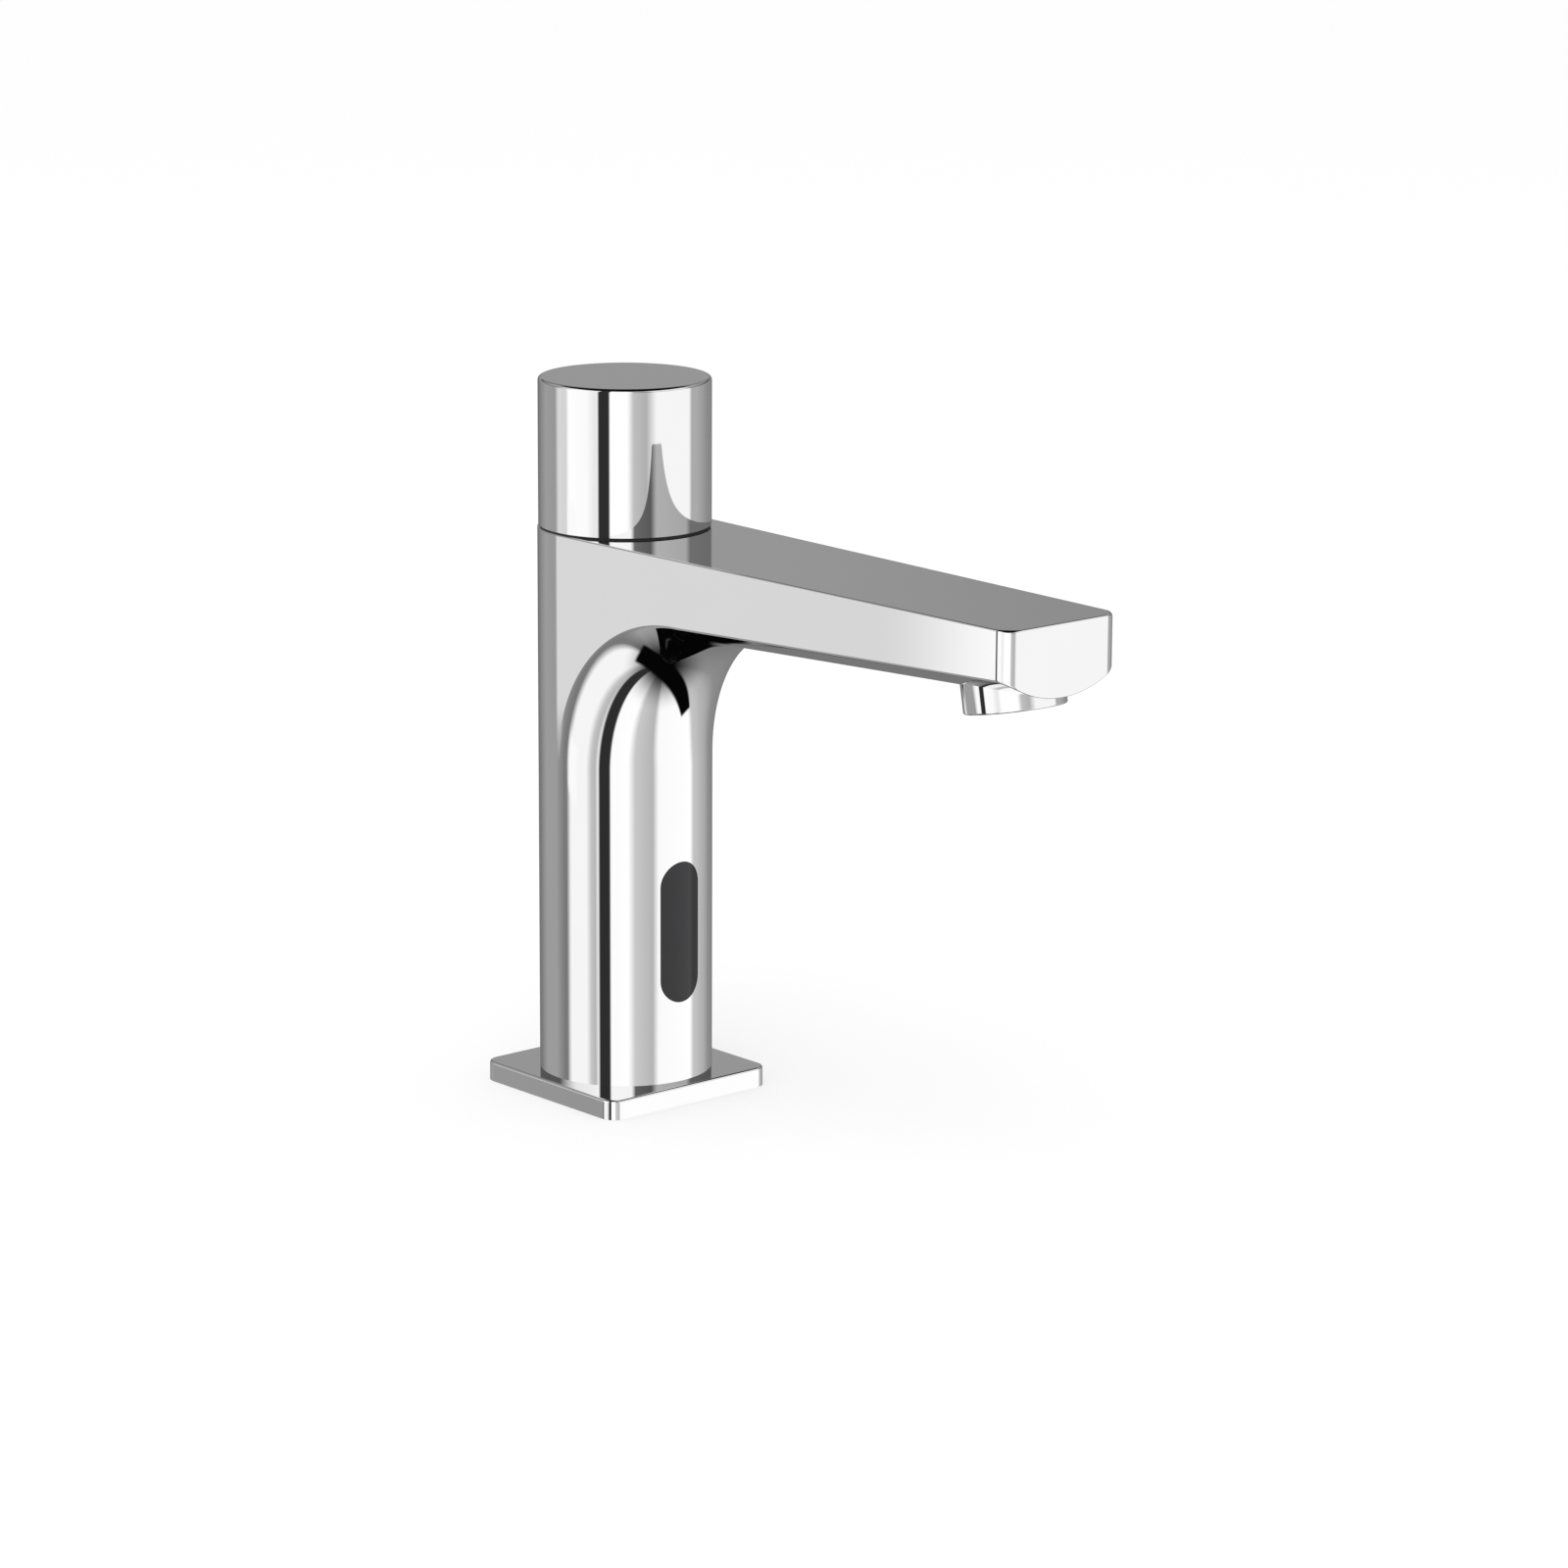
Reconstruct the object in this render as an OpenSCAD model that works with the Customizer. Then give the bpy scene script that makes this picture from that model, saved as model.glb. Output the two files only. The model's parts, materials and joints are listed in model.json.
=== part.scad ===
// Deck mounted sensor tap: a round column that bends into a flat sided spout, a
// temperature knob on top, an infrared eye in the column and a solenoid valve inside.
// Millimetres, +Z up. The deck is z = 0, the column stands on the z axis, the spout runs along -Y.

/* [Body] */
// Diameter of the column
column_d = 45; // [44:0.5:50]
// Thickness of the column wall
wall = 2.9; // [2.6:0.1:3.1]
// Height of the flat top of the spout above the deck
body_h = 148.5; // [124:0.5:165]
// Distance from the column axis to the front of the nose
spout_reach = 162.4; // [155:0.2:185]
// Width of the nose
nose_w = 36.4; // [34:0.2:42]
// Height of the nose at its side edges
nose_h = 12.3; // [11.5:0.1:15]
// Height of the spout side, read at the column axis
root_h = 19.4; // [18:0.1:23]
// Depth of the rounded underside below the side edges
belly = 5.8; // [5:0.1:6.5]
// Width of the flat land along the lower edges of the spout
edge_land = 0.15; // [0.1:0.05:0.4]
// Corner radius of the nose, seen from above
nose_corner_r = 4.6; // [3:0.1:6]
// Depth below the spout top at which the column starts to bend into the spout
bend_drop = 59.5; // [54:0.5:66]
// Length of the bend along the spout sides
bend_side = 45; // [38:0.5:52]
// Length of the bend along its middle, from the column front
bend_mid = 33; // [27:0.5:38]
// Diameter of the waterway in the spout
channel_d = 7.6; // [6.5:0.1:8]

/* [Base] */
// Side of the square base plate
plate_w = 53; // [47:0.5:62]
// Thickness of the base plate
plate_t = 5.2; // [4:0.1:6]
// Corner radius of the base plate, seen from above
plate_corner_r = 4; // [2:0.1:6]
// Round on the top edge of the base plate
plate_edge_r = 0.6; // [0.3:0.1:1.2]
// Height of the inlet block above the deck
block_h = 16; // [15:0.5:18]
// Bore of the threaded hole for the fixing stud, M8
stud_bore_d = 6.8; // [5:0.1:7.2]
// Depth of the threaded hole for the fixing stud
stud_depth = 12; // [9:0.5:13]
// Bore of the threaded hose inlets, M10 x 1
inlet_bore_d = 9; // [8:0.1:9.4]
// Depth of the thread in each hose inlet
inlet_depth = 9.5; // [7:0.5:9.5]
// Distance of the hose inlets from the column axis
inlet_ring_r = 12.3; // [12.1:0.1:12.6]
// Angle of each hose inlet, from the back
inlet_angle = 47; // [45:0.5:49]
// Outer diameter of the riser pipes
riser_d = 7; // [6:0.1:7.2]
// Bore of the cable hole in the inlet block
cable_bore_d = 7.2; // [6:0.1:8]
// Distance of the cable hole in front of the column axis
cable_y = 13; // [12.5:0.1:13.5]

/* [Sensor] */
// Width of the sensor window
window_w = 12.5; // [11:0.1:13.5]
// Height of the sensor window
window_h = 37.2; // [31:0.2:39]
// Height of the window centre above the deck
window_z = 45; // [41:0.5:56]
// Lip of the column wall that holds the window
window_lip = 1.2; // [1:0.1:1.4]
// Width of the sensor housing
sensor_w = 17.2; // [16.6:0.2:19]
// Height of the sensor housing
sensor_h = 21; // [20:0.5:24]
// Depth of the middle of the sensor housing below the window centre
sensor_drop = 8.5; // [5:0.5:10]
// Distance from the column axis to the back of the sensor housing
sensor_back = 7.6; // [7:0.1:8]
// Diameter of the infrared emitter and receiver
eye_d = 5; // [4:0.1:5.4]
// Distance of each eye from the middle of the sensor housing
eye_z = 5; // [4.5:0.1:5.5]

/* [Solenoid valve] */
// Distance of the valve axis in front of the column axis
valve_y = 7; // [6.6:0.1:7.3]
// Height of the valve body
valve_h = 13; // [13:0.1:14]
// Diameter of the diaphragm
diaphragm_d = 21.2; // [20:0.2:22]
// Outer diameter of the armature tube
tube_d = 10.4; // [10:0.1:11]
// Outer diameter of the plunger
plunger_d = 8.3; // [7.6:0.1:8.5]
// Stroke of the plunger, down to the pole in the armature tube
stroke = 1.2; // [0.8:0.1:1.6]
// Diameter of the coil winding
winding_d = 19.2; // [17:0.2:20]
// Height of the coil bobbin
coil_h = 15; // [13:0.1:18]
// Wire diameter of the plunger spring
spring_wire = 0.6; // [0.4:0.05:0.7]
// Turns of the plunger spring
spring_turns = 6; // [4:1:8]

/* [Mixing cartridge] */
// Diameter of the cartridge
cartridge_d = 25; // [24.6:0.1:25.4]
// Height of the cartridge, from its seat to its shoulder
cartridge_h = 28; // [26:0.5:28]
// Thickness of the web below the cartridge
web_t = 8; // [7:0.1:9]
// Diameter of the water ports
port_d = 5.2; // [4.6:0.1:5.4]
// Distance of the water ports from the column axis
port_ring_r = 7.8; // [7.6:0.1:8]
// Thickness of each ceramic disc
disc_t = 3.5; // [3:0.1:4]
// Diameter of the spindle
spindle_d = 8; // [7:0.1:9]
// Thread diameter of the cartridge nut, M28 x 1
nut_d = 28; // [27.6:0.1:29]
// Outer diameter of the neck that holds the nut
neck_d = 35; // [34.4:0.1:35.4]
// Height of the neck above the spout top
neck_h = 8.5; // [8:0.1:10]

/* [Knob] */
// Step from the column in to the knob
knob_step = 0.25; // [0:0.05:0.6]
// Height of the knob
knob_h = 38; // [35:0.5:45]
// Wall of the knob shell
knob_wall = 2.25; // [2:0.05:2.6]
// Thickness of the knob top
knob_top_t = 3.5; // [2.5:0.1:5]
// Round on the top edge of the knob
knob_edge_r = 1; // [0.4:0.1:2]
// Height of the dark seam below the knob
seam = 0.5; // [0.4:0.05:1]
// Turn of the knob to each side of its middle
knob_turn = 50; // [30:1:60]

/* [Aerator] */
// Diameter of the visible aerator ring
aerator_d = 25.1; // [24.8:0.1:26.5]
// Thread diameter of the aerator, M24 x 1
aerator_thread_d = 24; // [23:0.1:24.2]
// Distance of the centre of the outlet rim behind the front of the nose
outlet_inset = 16.4; // [15.5:0.1:22]
// Depth of the centre of the outlet rim below the top of the spout
outlet_drop = 23.5; // [23:0.1:24.5]
// Tilt of the outlet towards the front
outlet_tilt = 11; // [8:0.5:13]
// Width of one cell of the outlet grille
cell_w = 2.2; // [1.6:0.1:2.3]

/* [Fits] */
// Clearance between pieces that seat in or slide on each other
fit = 0.05; // [0.03:0.01:0.08]
// Clearance between pieces that pass without touching
gap = 0.3; // [0.3:0.05:0.4]

/* [Hidden] */
$fn = 96;
small_fn = 32;

// How far a cut runs on past the face that it opens, and a form into the one it joins
over = 1;

// Body
column_r = column_d / 2;
bore_r = column_r - wall;
bend_z = body_h - bend_drop;
side_taper = (column_r - nose_w / 2) / spout_reach;
side_rise = (root_h - nose_h) / spout_reach;
bend_steps = 18;
spout_steps = 4;
arc_steps = 28;
cut_margin = 6;
far_y = spout_reach + cut_margin;
shoulder_t = 0.5;
seat_z = body_h - shoulder_t - cartridge_h;
web_z = seat_z - web_t;
nut_seat_z = seat_z + cartridge_h;
neck_top = body_h + neck_h;
outlet_y = spout_reach - outlet_inset;
outlet_z = body_h - outlet_drop;
channel_z = body_h - 7.3;
channel_start = 14.8;
channel_end = outlet_y - 4;
duct_y = 15.9;
duct_r = 2.3;

// Screws: the larger ones hold the valve and the bracket, the smaller ones the sensor
screw_r = 1.45;
screw_hole_r = 1.5;
screw_pass_r = 1.6;
screw_head_r = 2.7;
screw_head_t = 1.8;
small_screw_r = 1.1;
small_hole_r = 1.15;
small_pass_r = 1.3;
small_head_r = 2.2;
small_head_t = 1.4;
cross_w = 0.6;

// Base
rim_w = plate_w / 2 - bore_r;
gasket_w = 2.4;
gasket_mid_r = bore_r + rim_w / 2;
gasket_in_r = gasket_mid_r - gasket_w / 2;
gasket_out_r = gasket_mid_r + gasket_w / 2;
gasket_t = 1.8;
seal_wire = 1.6;
riser_r = riser_d / 2;
riser_wall = 0.8;
riser_low = block_h - 5;
riser_top = web_z + 3.5;
socket_top = web_z + 6.2;
seal_r = riser_r + seal_wire / 2;
seal_seat_r = riser_r + seal_wire + fit;
seal_depth = 2.2;
block_r = bore_r - fit;
block_seal_z = plate_t + 4;
bracket_hole = 7;
cable_r = 1.75;
grommet_low = 6;
grommet_flange_r = 4.8;
grommet_flange_t = 1.4;

// Sensor
lip_r = column_r - window_lip;
slot_start = bore_r - 3;
window_skin = 0.05;
window_flange_w = 1.45;
window_back_r = bore_r + gap;
window_gasket_t = 0.35;
sensor_z = window_z - sensor_drop;
sensor_r = bore_r - 0.1;
sensor_wall = 1.2;
screw_inset = 3.3;
sensor_screw_z = sensor_h / 2 - screw_inset;
sensor_screw_bite = 2.6;
board_t = 1.6;
board_y = sensor_back + 2.8;
room_w = sensor_w - 2 * sensor_wall;
room_h = sensor_h - 2 * sensor_wall;
back_room_w = room_w - 2.9;
back_room_h = 2 * (sensor_screw_z - small_hole_r - sensor_wall);
eye_rim = 0.4;
eye_rim_t = 1;
eye_l = 4.2;
divider_t = 1.6;
bracket_t = 1.2;
bracket_l = 7.8;
bracket_screw_x = 6;
bracket_screw_y = sensor_back - bracket_t - 3.2;
bracket_screw_bite = 6.4;

// Solenoid valve
valve_back_y = inlet_ring_r * cos(inlet_angle) - riser_r - 2 * gap;
valve_gasket_t = 1;
valve_top = web_z - valve_gasket_t;
valve_low = valve_top - valve_h;
valve_screw_x = 14.6;
valve_screw_bite = 5.5;
inflow_r = 2.3;
inflow_y = diaphragm_d / 2 - 3.1 - valve_y;
inflow_slot = 3;
annulus_r = diaphragm_d / 2 - 1.6;
annulus_depth = 2.8;
seat_wall = 1.6;
outflow_z = valve_low + 6.2;
diaphragm_t = 1.2;
pilot_r = 0.6;
bonnet_top = valve_low - diaphragm_t;
bonnet_t = 4.8;
bonnet_low = bonnet_top - bonnet_t;
chamber_depth = 2.4;
pilot_chamber_r = diaphragm_d / 2 - 2.1;
tube_r = tube_d / 2;
tube_bore_r = plunger_d / 2 + fit;
tube_end_t = 1.8;
frame_t = 1.2;
frame_strip_w = 8;
coil_low = bonnet_low - frame_t - coil_h;
tube_low = coil_low - frame_t - 1.7;
bobbin_r = winding_d / 2 + 0.6;
bobbin_wall = 0.9;
bobbin_flange_t = 1.2;
clip_t = 0.8;
clip_w = 2.6;
clip_slot_w = 2;
spring_low = tube_low + tube_end_t;
plunger_low = spring_low + 5;
plunger_top = bonnet_top - chamber_depth;
plunger_tip_r = 2;
pole_top = plunger_low - stroke - fit;
spring_bore_r = 2.5;
spring_top = plunger_low + 6;
spring_r = spring_bore_r - gap / 2 - spring_wire / 2;
spring_rise = spring_top - spring_low - spring_wire;
spring_lead = (spring_rise - 2 * spring_wire) / (spring_turns - 2);
rings_per_turn = 12;
wire_sides = 6;

// Mixing cartridge
cartridge_r = cartridge_d / 2;
cartridge_bore_r = cartridge_r + fit;
port_r = port_d / 2;
base_t = 4;
port_seal_r = port_r + 0.3;
port_seal_w = 1.2;
port_seal_h = 1.2;
disc_r = cartridge_r - 1.35;
turning_r = disc_r - gap;
housing_bore_r = disc_r + fit;
disc_z = seat_z + base_t;
moving_z = disc_z + disc_t + fit;
carrier_z = moving_z + disc_t;
carrier_t = 4;
collar_z = carrier_z + carrier_t;
collar_t = 2.5;
collar_r = 6.5;
roof_z = collar_z + collar_t + 0.5;
roof_groove_depth = 4;
roof_groove_wall = 2;
spindle_r = spindle_d / 2;
spindle_top = neck_top + 15;
hex_r = 5;
stem_groove_z = roof_z + 3;
stem_wire = 0.9;
flat_y = spindle_r - 0.6;
mix_from = 125;
mix_angle = 290;
mix_rim = 1;
nut_wall_r = spindle_r + 3.5;
nut_h = neck_h - 0.5;
nut_slot_w = 3;
nut_slot_depth = 2;

// Knob
knob_r = column_r - knob_step;
knob_bore_r = knob_r - knob_wall;
knob_low = body_h + seam;
knob_top = knob_low + knob_h;
knob_edge_fn = 48;
glide_r = knob_r - gap;
glide_t = seam - fit;
glide_bore_r = neck_d / 2 + fit;
glide_h = neck_h - 1;
hub_r = 9.5;
hub_top = spindle_top + 4;
stop_t = 1.5;
stop_wall_t = 3;
stop_wall_in = 12;
stop_wall_out = 17;
stop_key = 0.5;
lug_half_angle = 8;
lug_play = 0.5;
insert_low = neck_top + stop_t + stop_wall_t + 0.5;
hub_skirt = 2.5;
insert_flange_t = 3;
insert_ring_t = 1.7;
rib_t = 1.6;
screw_z = neck_top + 10;
grub_d = 4;
grub_l = 6;
grub_pass_d = grub_d + 0.4;
grub_hex_r = 1.15;
grub_hex_depth = 2;

// Aerator
ring_r = aerator_d / 2;
ring_h = 8.8;
ring_round = 0.5;
thread_r = aerator_thread_d / 2;
thread_top = 13;
washer_t = 1.5;
chamber_r = 9;
chamber_top = 18;
lip_h = 1.6;
aerator_bore_r = thread_r - 1.4;
lip_in_r = aerator_bore_r - 0.7;
grille_t = 3;
insert_h = 7.4;
insert_wall = 1.2;
insert_bore_r = aerator_bore_r - insert_wall;
cell_pitch = cell_w + 0.5;
cell_rings = 3;
limiter_t = 2;
limiter_hole_r = 0.9;
limiter_ring_r = 5.5;
screen_z = lip_h + insert_h;
screen_rim_t = 1;
screen_h = 3;
screen_top_r = 3;
screen_skin = 0.8;
screen_hole_r = 0.5;
screen_ring_r = 5.2;

// Half width of the spout at a distance y in front of the column axis
function half_width(y) = column_r - side_taper * y;

// Height of the lower edge of the spout side at a distance y in front of the axis
function side_low(y) = body_h - root_h + side_rise * y;

// Lower edge of the bend on the spout side, as distance and height
function side_bend(a) = [
  bend_side * (1 - cos(a)),
  bend_z + (side_low(bend_side) - bend_z) * sin(a)
];

// Lowest line of the bend in the middle of the spout, as distance and height
function mid_bend(a) = [
  column_r + bend_mid * (1 - cos(a)),
  bend_z + (side_low(column_r + bend_mid) - belly - bend_z) * sin(a)
];

// One section of the underside: a circular arc from land to land, through the middle
// line, with ears that carry the flat lands on past the spout sides
function section(side, mid) =
  let (
    w = half_width(side[0]) - edge_land,
    s = norm(mid - side),
    dir = (mid - side) / s,
    r = (w * w + s * s) / (2 * s),
    a_end = atan2(w, r - s),
    ear = column_r + cut_margin
  )
  concat(
    [[-ear, -side[0], side[1]]],
    [for (i = [0 : arc_steps])
      let (a = a_end * (2 * i / arc_steps - 1), d = s - r * (1 - cos(a)))
      [r * sin(a), -side[0] - dir[0] * d, side[1] + dir[1] * d]],
    [[ear, -side[0], side[1]]]
  );

// A section of the bend, at angle a
function bend_section(a) = section(side_bend(a), mid_bend(a));

// A section of the straight part, from the end of the bend at t = 0 to past the nose at 1
function spout_section(t) =
  let (
    ys = bend_side + (far_y - bend_side) * t,
    ym = column_r + bend_mid + (far_y - column_r - bend_mid) * t
  )
  section([ys, side_low(ys)], [ym, side_low(ym) - belly]);

underside = concat(
  [section([0, bend_z - over], [column_r, bend_z - over])],
  [for (i = [0 : bend_steps]) bend_section(90 * i / bend_steps)],
  [for (i = [1 : spout_steps]) spout_section(i / spout_steps)]
);

// Everything in front of the column and below the spout: a loft of the sections
module under_spout() {
  n = len(underside);
  m = len(underside[0]);
  ear = column_r + cut_margin;
  points = concat(
    [for (ring = underside) for (p = ring) p],
    [[-ear, -far_y, bend_z - over], [ear, -far_y, bend_z - over]]
  );
  left = n * m;
  right = left + 1;
  last = (n - 1) * m;
  middle = (m - 1) / 2;
  faces = concat(
    [for (i = [0 : n - 2]) for (j = [0 : m - 2]) [i * m + j, i * m + j + 1, (i + 1) * m + j]],
    [for (i = [0 : n - 2]) for (j = [0 : m - 2]) [i * m + j + 1, (i + 1) * m + j + 1, (i + 1) * m + j]],
    [for (i = [0 : n - 2]) [i * m, (i + 1) * m, left]],
    [for (i = [0 : n - 2]) [(i + 1) * m + m - 1, i * m + m - 1, right]],
    [for (j = [0 : m - 2]) [j + 1, j, j < middle ? left : right]],
    [for (j = [0 : m - 2]) [last + j, last + j + 1, j < middle ? left : right]],
    [[middle, left, right], [last + middle, right, left]]
  );
  polyhedron(points = points, faces = faces, convexity = 6);
}

// Plan of the spout, with round nose corners that are tangent to its sides and front
module spout_plan() {
  c = nose_corner_r;
  slope = atan(side_taper);
  cx = half_width(spout_reach - c) - c / cos(slope);
  cy = c - spout_reach;
  px = cx + c * cos(slope);
  py = cy - c * sin(slope);
  polygon([[-column_r, 0], [-px, py], [-cx, -spout_reach], [cx, -spout_reach], [px, py], [column_r, 0]]);
  for (s = [-1, 1]) translate([s * cx, cy]) circle(r = c);
}

// Upright cylinder between two heights
module post(low, high, r) {
  translate([0, 0, low]) cylinder(r = r, h = high - low);
}

// Upright tube between two heights
module pipe(low, high, r_out, r_in) {
  difference() {
    post(low, high, r_out);
    post(low - over, high + over, r_in);
  }
}

// O-ring of wire diameter wire, centred on radius r at height z
module o_ring(z, r, wire) {
  translate([0, 0, z]) rotate_extrude() translate([r, 0]) circle(d = wire, $fn = small_fn);
}

// Upright hexagon between two heights, r from its centre to its corners
module hex_post(low, high, r) {
  translate([0, 0, low]) cylinder(r = r, h = high - low, $fn = 6);
}

// Pan head screw with a cross slot, its shank along +Z and its head below z = 0
module pan_screw(r, l, head_r, head_t) {
  cross_l = 1.2 * head_r;
  difference() {
    union() {
      post(-head_t, 0, head_r);
      post(-head_t / 2, l, r);
    }
    for (a = [0, 90]) rotate([0, 0, a]) translate([-cross_l / 2, -cross_w / 2, -head_t - over])
      cube([cross_l, cross_w, over + head_t / 2]);
  }
}

// Both hose inlets, or one side only
module at_inlets(sides = [-1, 1]) {
  for (s = sides)
    translate([s * inlet_ring_r * sin(inlet_angle), inlet_ring_r * cos(inlet_angle), 0]) children();
}

// The hot and cold ports of the cartridge, in line with the inlets
module at_feed_ports() {
  for (s = [-1, 1])
    translate([s * port_ring_r * sin(inlet_angle), port_ring_r * cos(inlet_angle), 0]) children();
}

// All three ports of the cartridge
module at_ports() {
  at_feed_ports() children();
  in_front(port_ring_r) children();
}

// A place on the middle plane, y in front of the column axis
module in_front(y) {
  translate([0, -y, 0]) children();
}

module at_bracket_screws() {
  for (s = [-1, 1]) translate([s * bracket_screw_x, -bracket_screw_y, 0]) children();
}

// Screw axes through the bracket into the housing, starting at the bracket's back
module at_sensor_screws() {
  for (s = [-1, 1])
    translate([0, bracket_t - sensor_back, sensor_z + s * sensor_screw_z]) rotate([90, 0, 0]) children();
}

module at_valve_screws() {
  for (s = [-1, 1]) translate([s * valve_screw_x, -valve_y, 0]) children();
}

// Axis of the knob's grub screw, along +Y from the column axis
module at_grub_screw() {
  translate([0, 0, screw_z]) rotate([-90, 0, 0]) children();
}

// Outlet axis, with its zero on the rim and +Z up into the spout
module at_outlet() {
  translate([0, -outlet_y, outlet_z]) rotate([-outlet_tilt, 0, 0]) children();
}

// Upright slot with round ends round the window centre, from inside the wall to past it
module front_slot(w, h) {
  translate([0, -slot_start, window_z]) rotate([90, 0, 0])
    linear_extrude(height = column_r + cut_margin - slot_start) {
      square([w, h - w], center = true);
      for (s = [-1, 1]) translate([0, s * (h - w) / 2]) circle(d = w);
    }
}

// The same slot, larger than the window by a margin all round
module window_slot(margin) {
  front_slot(window_w + 2 * margin, window_h + 2 * margin);
}

// Part of a ring between two radii and two heights, centred on the front
module front_sector(r_in, r_out, half_angle, low, high) {
  translate([0, 0, low]) rotate([0, 0, -90 - half_angle]) rotate_extrude(angle = 2 * half_angle)
    translate([r_in, 0]) square([r_out - r_in, high - low]);
}

// Block in front of the column axis, from one distance to another, round the sensor's middle
module front_block(w, near, far, h) {
  translate([-w / 2, -far, sensor_z - h / 2]) cube([w, far - near, h]);
}

module body() color("gainsboro") difference() {
  union() {
    post(plate_t, body_h, column_r);
    post(bend_z - over, neck_top, neck_d / 2);
    difference() {
      translate([0, 0, bend_z]) linear_extrude(height = body_h - bend_z) spout_plan();
      under_spout();
    }
  }
  post(plate_t - over, web_z, bore_r);
  post(seat_z, neck_top + over, cartridge_bore_r);
  post(nut_seat_z, neck_top + over, nut_d / 2 + fit);
  body_waterways();
  outlet_socket();
  window_slot(fit);
  intersection() {
    window_slot(window_flange_w + 2 * fit);
    cylinder(r = lip_r, h = body_h);
  }
}

module body_waterways() {
  at_inlets() {
    post(web_z - over, web_z + seal_depth, seal_seat_r);
    post(web_z - over, socket_top, riser_r + fit);
  }
  at_feed_ports() post(riser_top + gap, seat_z + over, port_r);
  in_front(port_ring_r) post(web_z - over, seat_z + over, port_r);
  at_valve_screws() post(web_z - over, web_z + valve_screw_bite + shoulder_t, screw_hole_r);
  in_front(duct_y) post(web_z - over, channel_z, duct_r);
  translate([0, -channel_start, channel_z]) rotate([90, 0, 0])
    cylinder(d = channel_d, h = channel_end - channel_start);
}

module outlet_socket() {
  at_outlet() {
    post(-outlet_drop, ring_h + 2 * fit, ring_r + 2 * fit);
    post(0, thread_top + washer_t, thread_r + fit);
    post(0, chamber_top, chamber_r);
  }
}

// Bar across the plate, from corner centre to corner centre, with round top edges
module plate_bar() {
  w = plate_w;
  r = plate_edge_r;
  rotate([90, 0, 0]) linear_extrude(height = w - 2 * plate_corner_r, center = true) {
    translate([-w / 2, 0]) square([w, plate_t - r]);
    translate([r - w / 2, 0]) square([w - 2 * r, plate_t]);
    for (s = [-1, 1]) translate([s * (w / 2 - r), plate_t - r]) circle(r = r, $fn = small_fn);
  }
}

// Round corner of the plate with the same round top edge
module plate_corner() {
  r = plate_edge_r;
  rotate_extrude() {
    square([plate_corner_r, plate_t - r]);
    square([plate_corner_r - r, plate_t]);
    translate([plate_corner_r - r, plate_t - r]) circle(r = r, $fn = small_fn);
  }
}

module base_plate() color("gainsboro") {
  corner = plate_w / 2 - plate_corner_r;
  difference() {
    union() {
      for (a = [0, 90]) rotate([0, 0, a]) plate_bar();
      for (x = [-1, 1]) for (y = [-1, 1]) translate([x * corner, y * corner, 0]) plate_corner();
    }
    post(-over, plate_t + over, bore_r);
    pipe(-over, gasket_t, gasket_out_r + fit, gasket_in_r - fit);
  }
}

module base_gasket() color("dimgray") pipe(0, gasket_t, gasket_out_r, gasket_in_r);

module inlet_block() color("goldenrod") difference() {
  post(0, block_h, block_r);
  post(-over, stud_depth, stud_bore_d / 2);
  at_inlets() {
    post(-over, inlet_depth, inlet_bore_d / 2);
    post(0, block_h, riser_r - riser_wall);
    post(riser_low, block_h + over, riser_r + fit);
    post(block_h - seal_depth, block_h + over, seal_seat_r);
  }
  in_front(cable_y) post(-over, block_h + over, cable_bore_d / 2);
  at_bracket_screws() post(block_h - bracket_hole, block_h + over, screw_hole_r);
  pipe(block_seal_z - seal_wire / 2, block_seal_z + seal_wire / 2,
    block_r + over, block_r - seal_wire + 2 * fit);
}

module block_o_ring() color("black")
  o_ring(block_seal_z, bore_r - seal_wire / 2, seal_wire - 2 * fit);

module cable_grommet() color("dimgray") in_front(cable_y) difference() {
  union() {
    post(grommet_low, block_h, cable_bore_d / 2 - fit);
    post(block_h, block_h + grommet_flange_t, grommet_flange_r);
  }
  post(grommet_low - over, block_h + grommet_flange_t + over, cable_r);
}

module riser(side) color("peru") at_inlets([side])
  pipe(riser_low, riser_top, riser_r, riser_r - riser_wall);

module hot_riser() riser(-1);

module cold_riser() riser(1);

module riser_o_rings() color("black") at_inlets()
  for (z = [block_h - seal_wire / 2, web_z + seal_wire / 2])
    o_ring(z, seal_r + fit / 2, seal_wire - fit);

module sensor_window() color([0.03, 0.03, 0.04]) intersection() {
  union() {
    window_slot(0);
    intersection() {
      window_slot(window_flange_w);
      cylinder(r = lip_r - window_gasket_t, h = body_h);
    }
  }
  pipe(0, body_h, column_r - window_skin, window_back_r);
}

module window_gasket() color("dimgray") intersection() {
  difference() {
    window_slot(window_flange_w);
    translate([0, over, 0]) window_slot(fit);
  }
  pipe(0, body_h, lip_r, lip_r - window_gasket_t);
}

module sensor_housing() color([0.15, 0.15, 0.16]) difference() {
  intersection() {
    front_block(sensor_w, sensor_back, column_r, sensor_h);
    cylinder(r = sensor_r, h = body_h);
  }
  front_block(room_w, board_y, column_r + over, room_h);
  front_block(back_room_w, sensor_back + sensor_wall, board_y + over, back_room_h);
  at_sensor_screws() post(0, bracket_t + sensor_screw_bite + fit, small_hole_r);
  in_front(cable_y) post(sensor_z - sensor_h / 2 - over, sensor_z - room_h / 2 + over, cable_r);
}

module sensor_board() color("darkgreen")
  front_block(room_w - 2 * fit, board_y, board_y + board_t, room_h - 2 * fit);

module eye(z) translate([0, -board_y - board_t, sensor_z + z]) rotate([90, 0, 0]) {
  post(0, eye_rim_t, eye_d / 2 + eye_rim);
  post(0, eye_l, eye_d / 2);
  translate([0, 0, eye_l]) sphere(d = eye_d);
}

module ir_emitter() color([0.5, 0.5, 0.6]) eye(eye_z);

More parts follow.
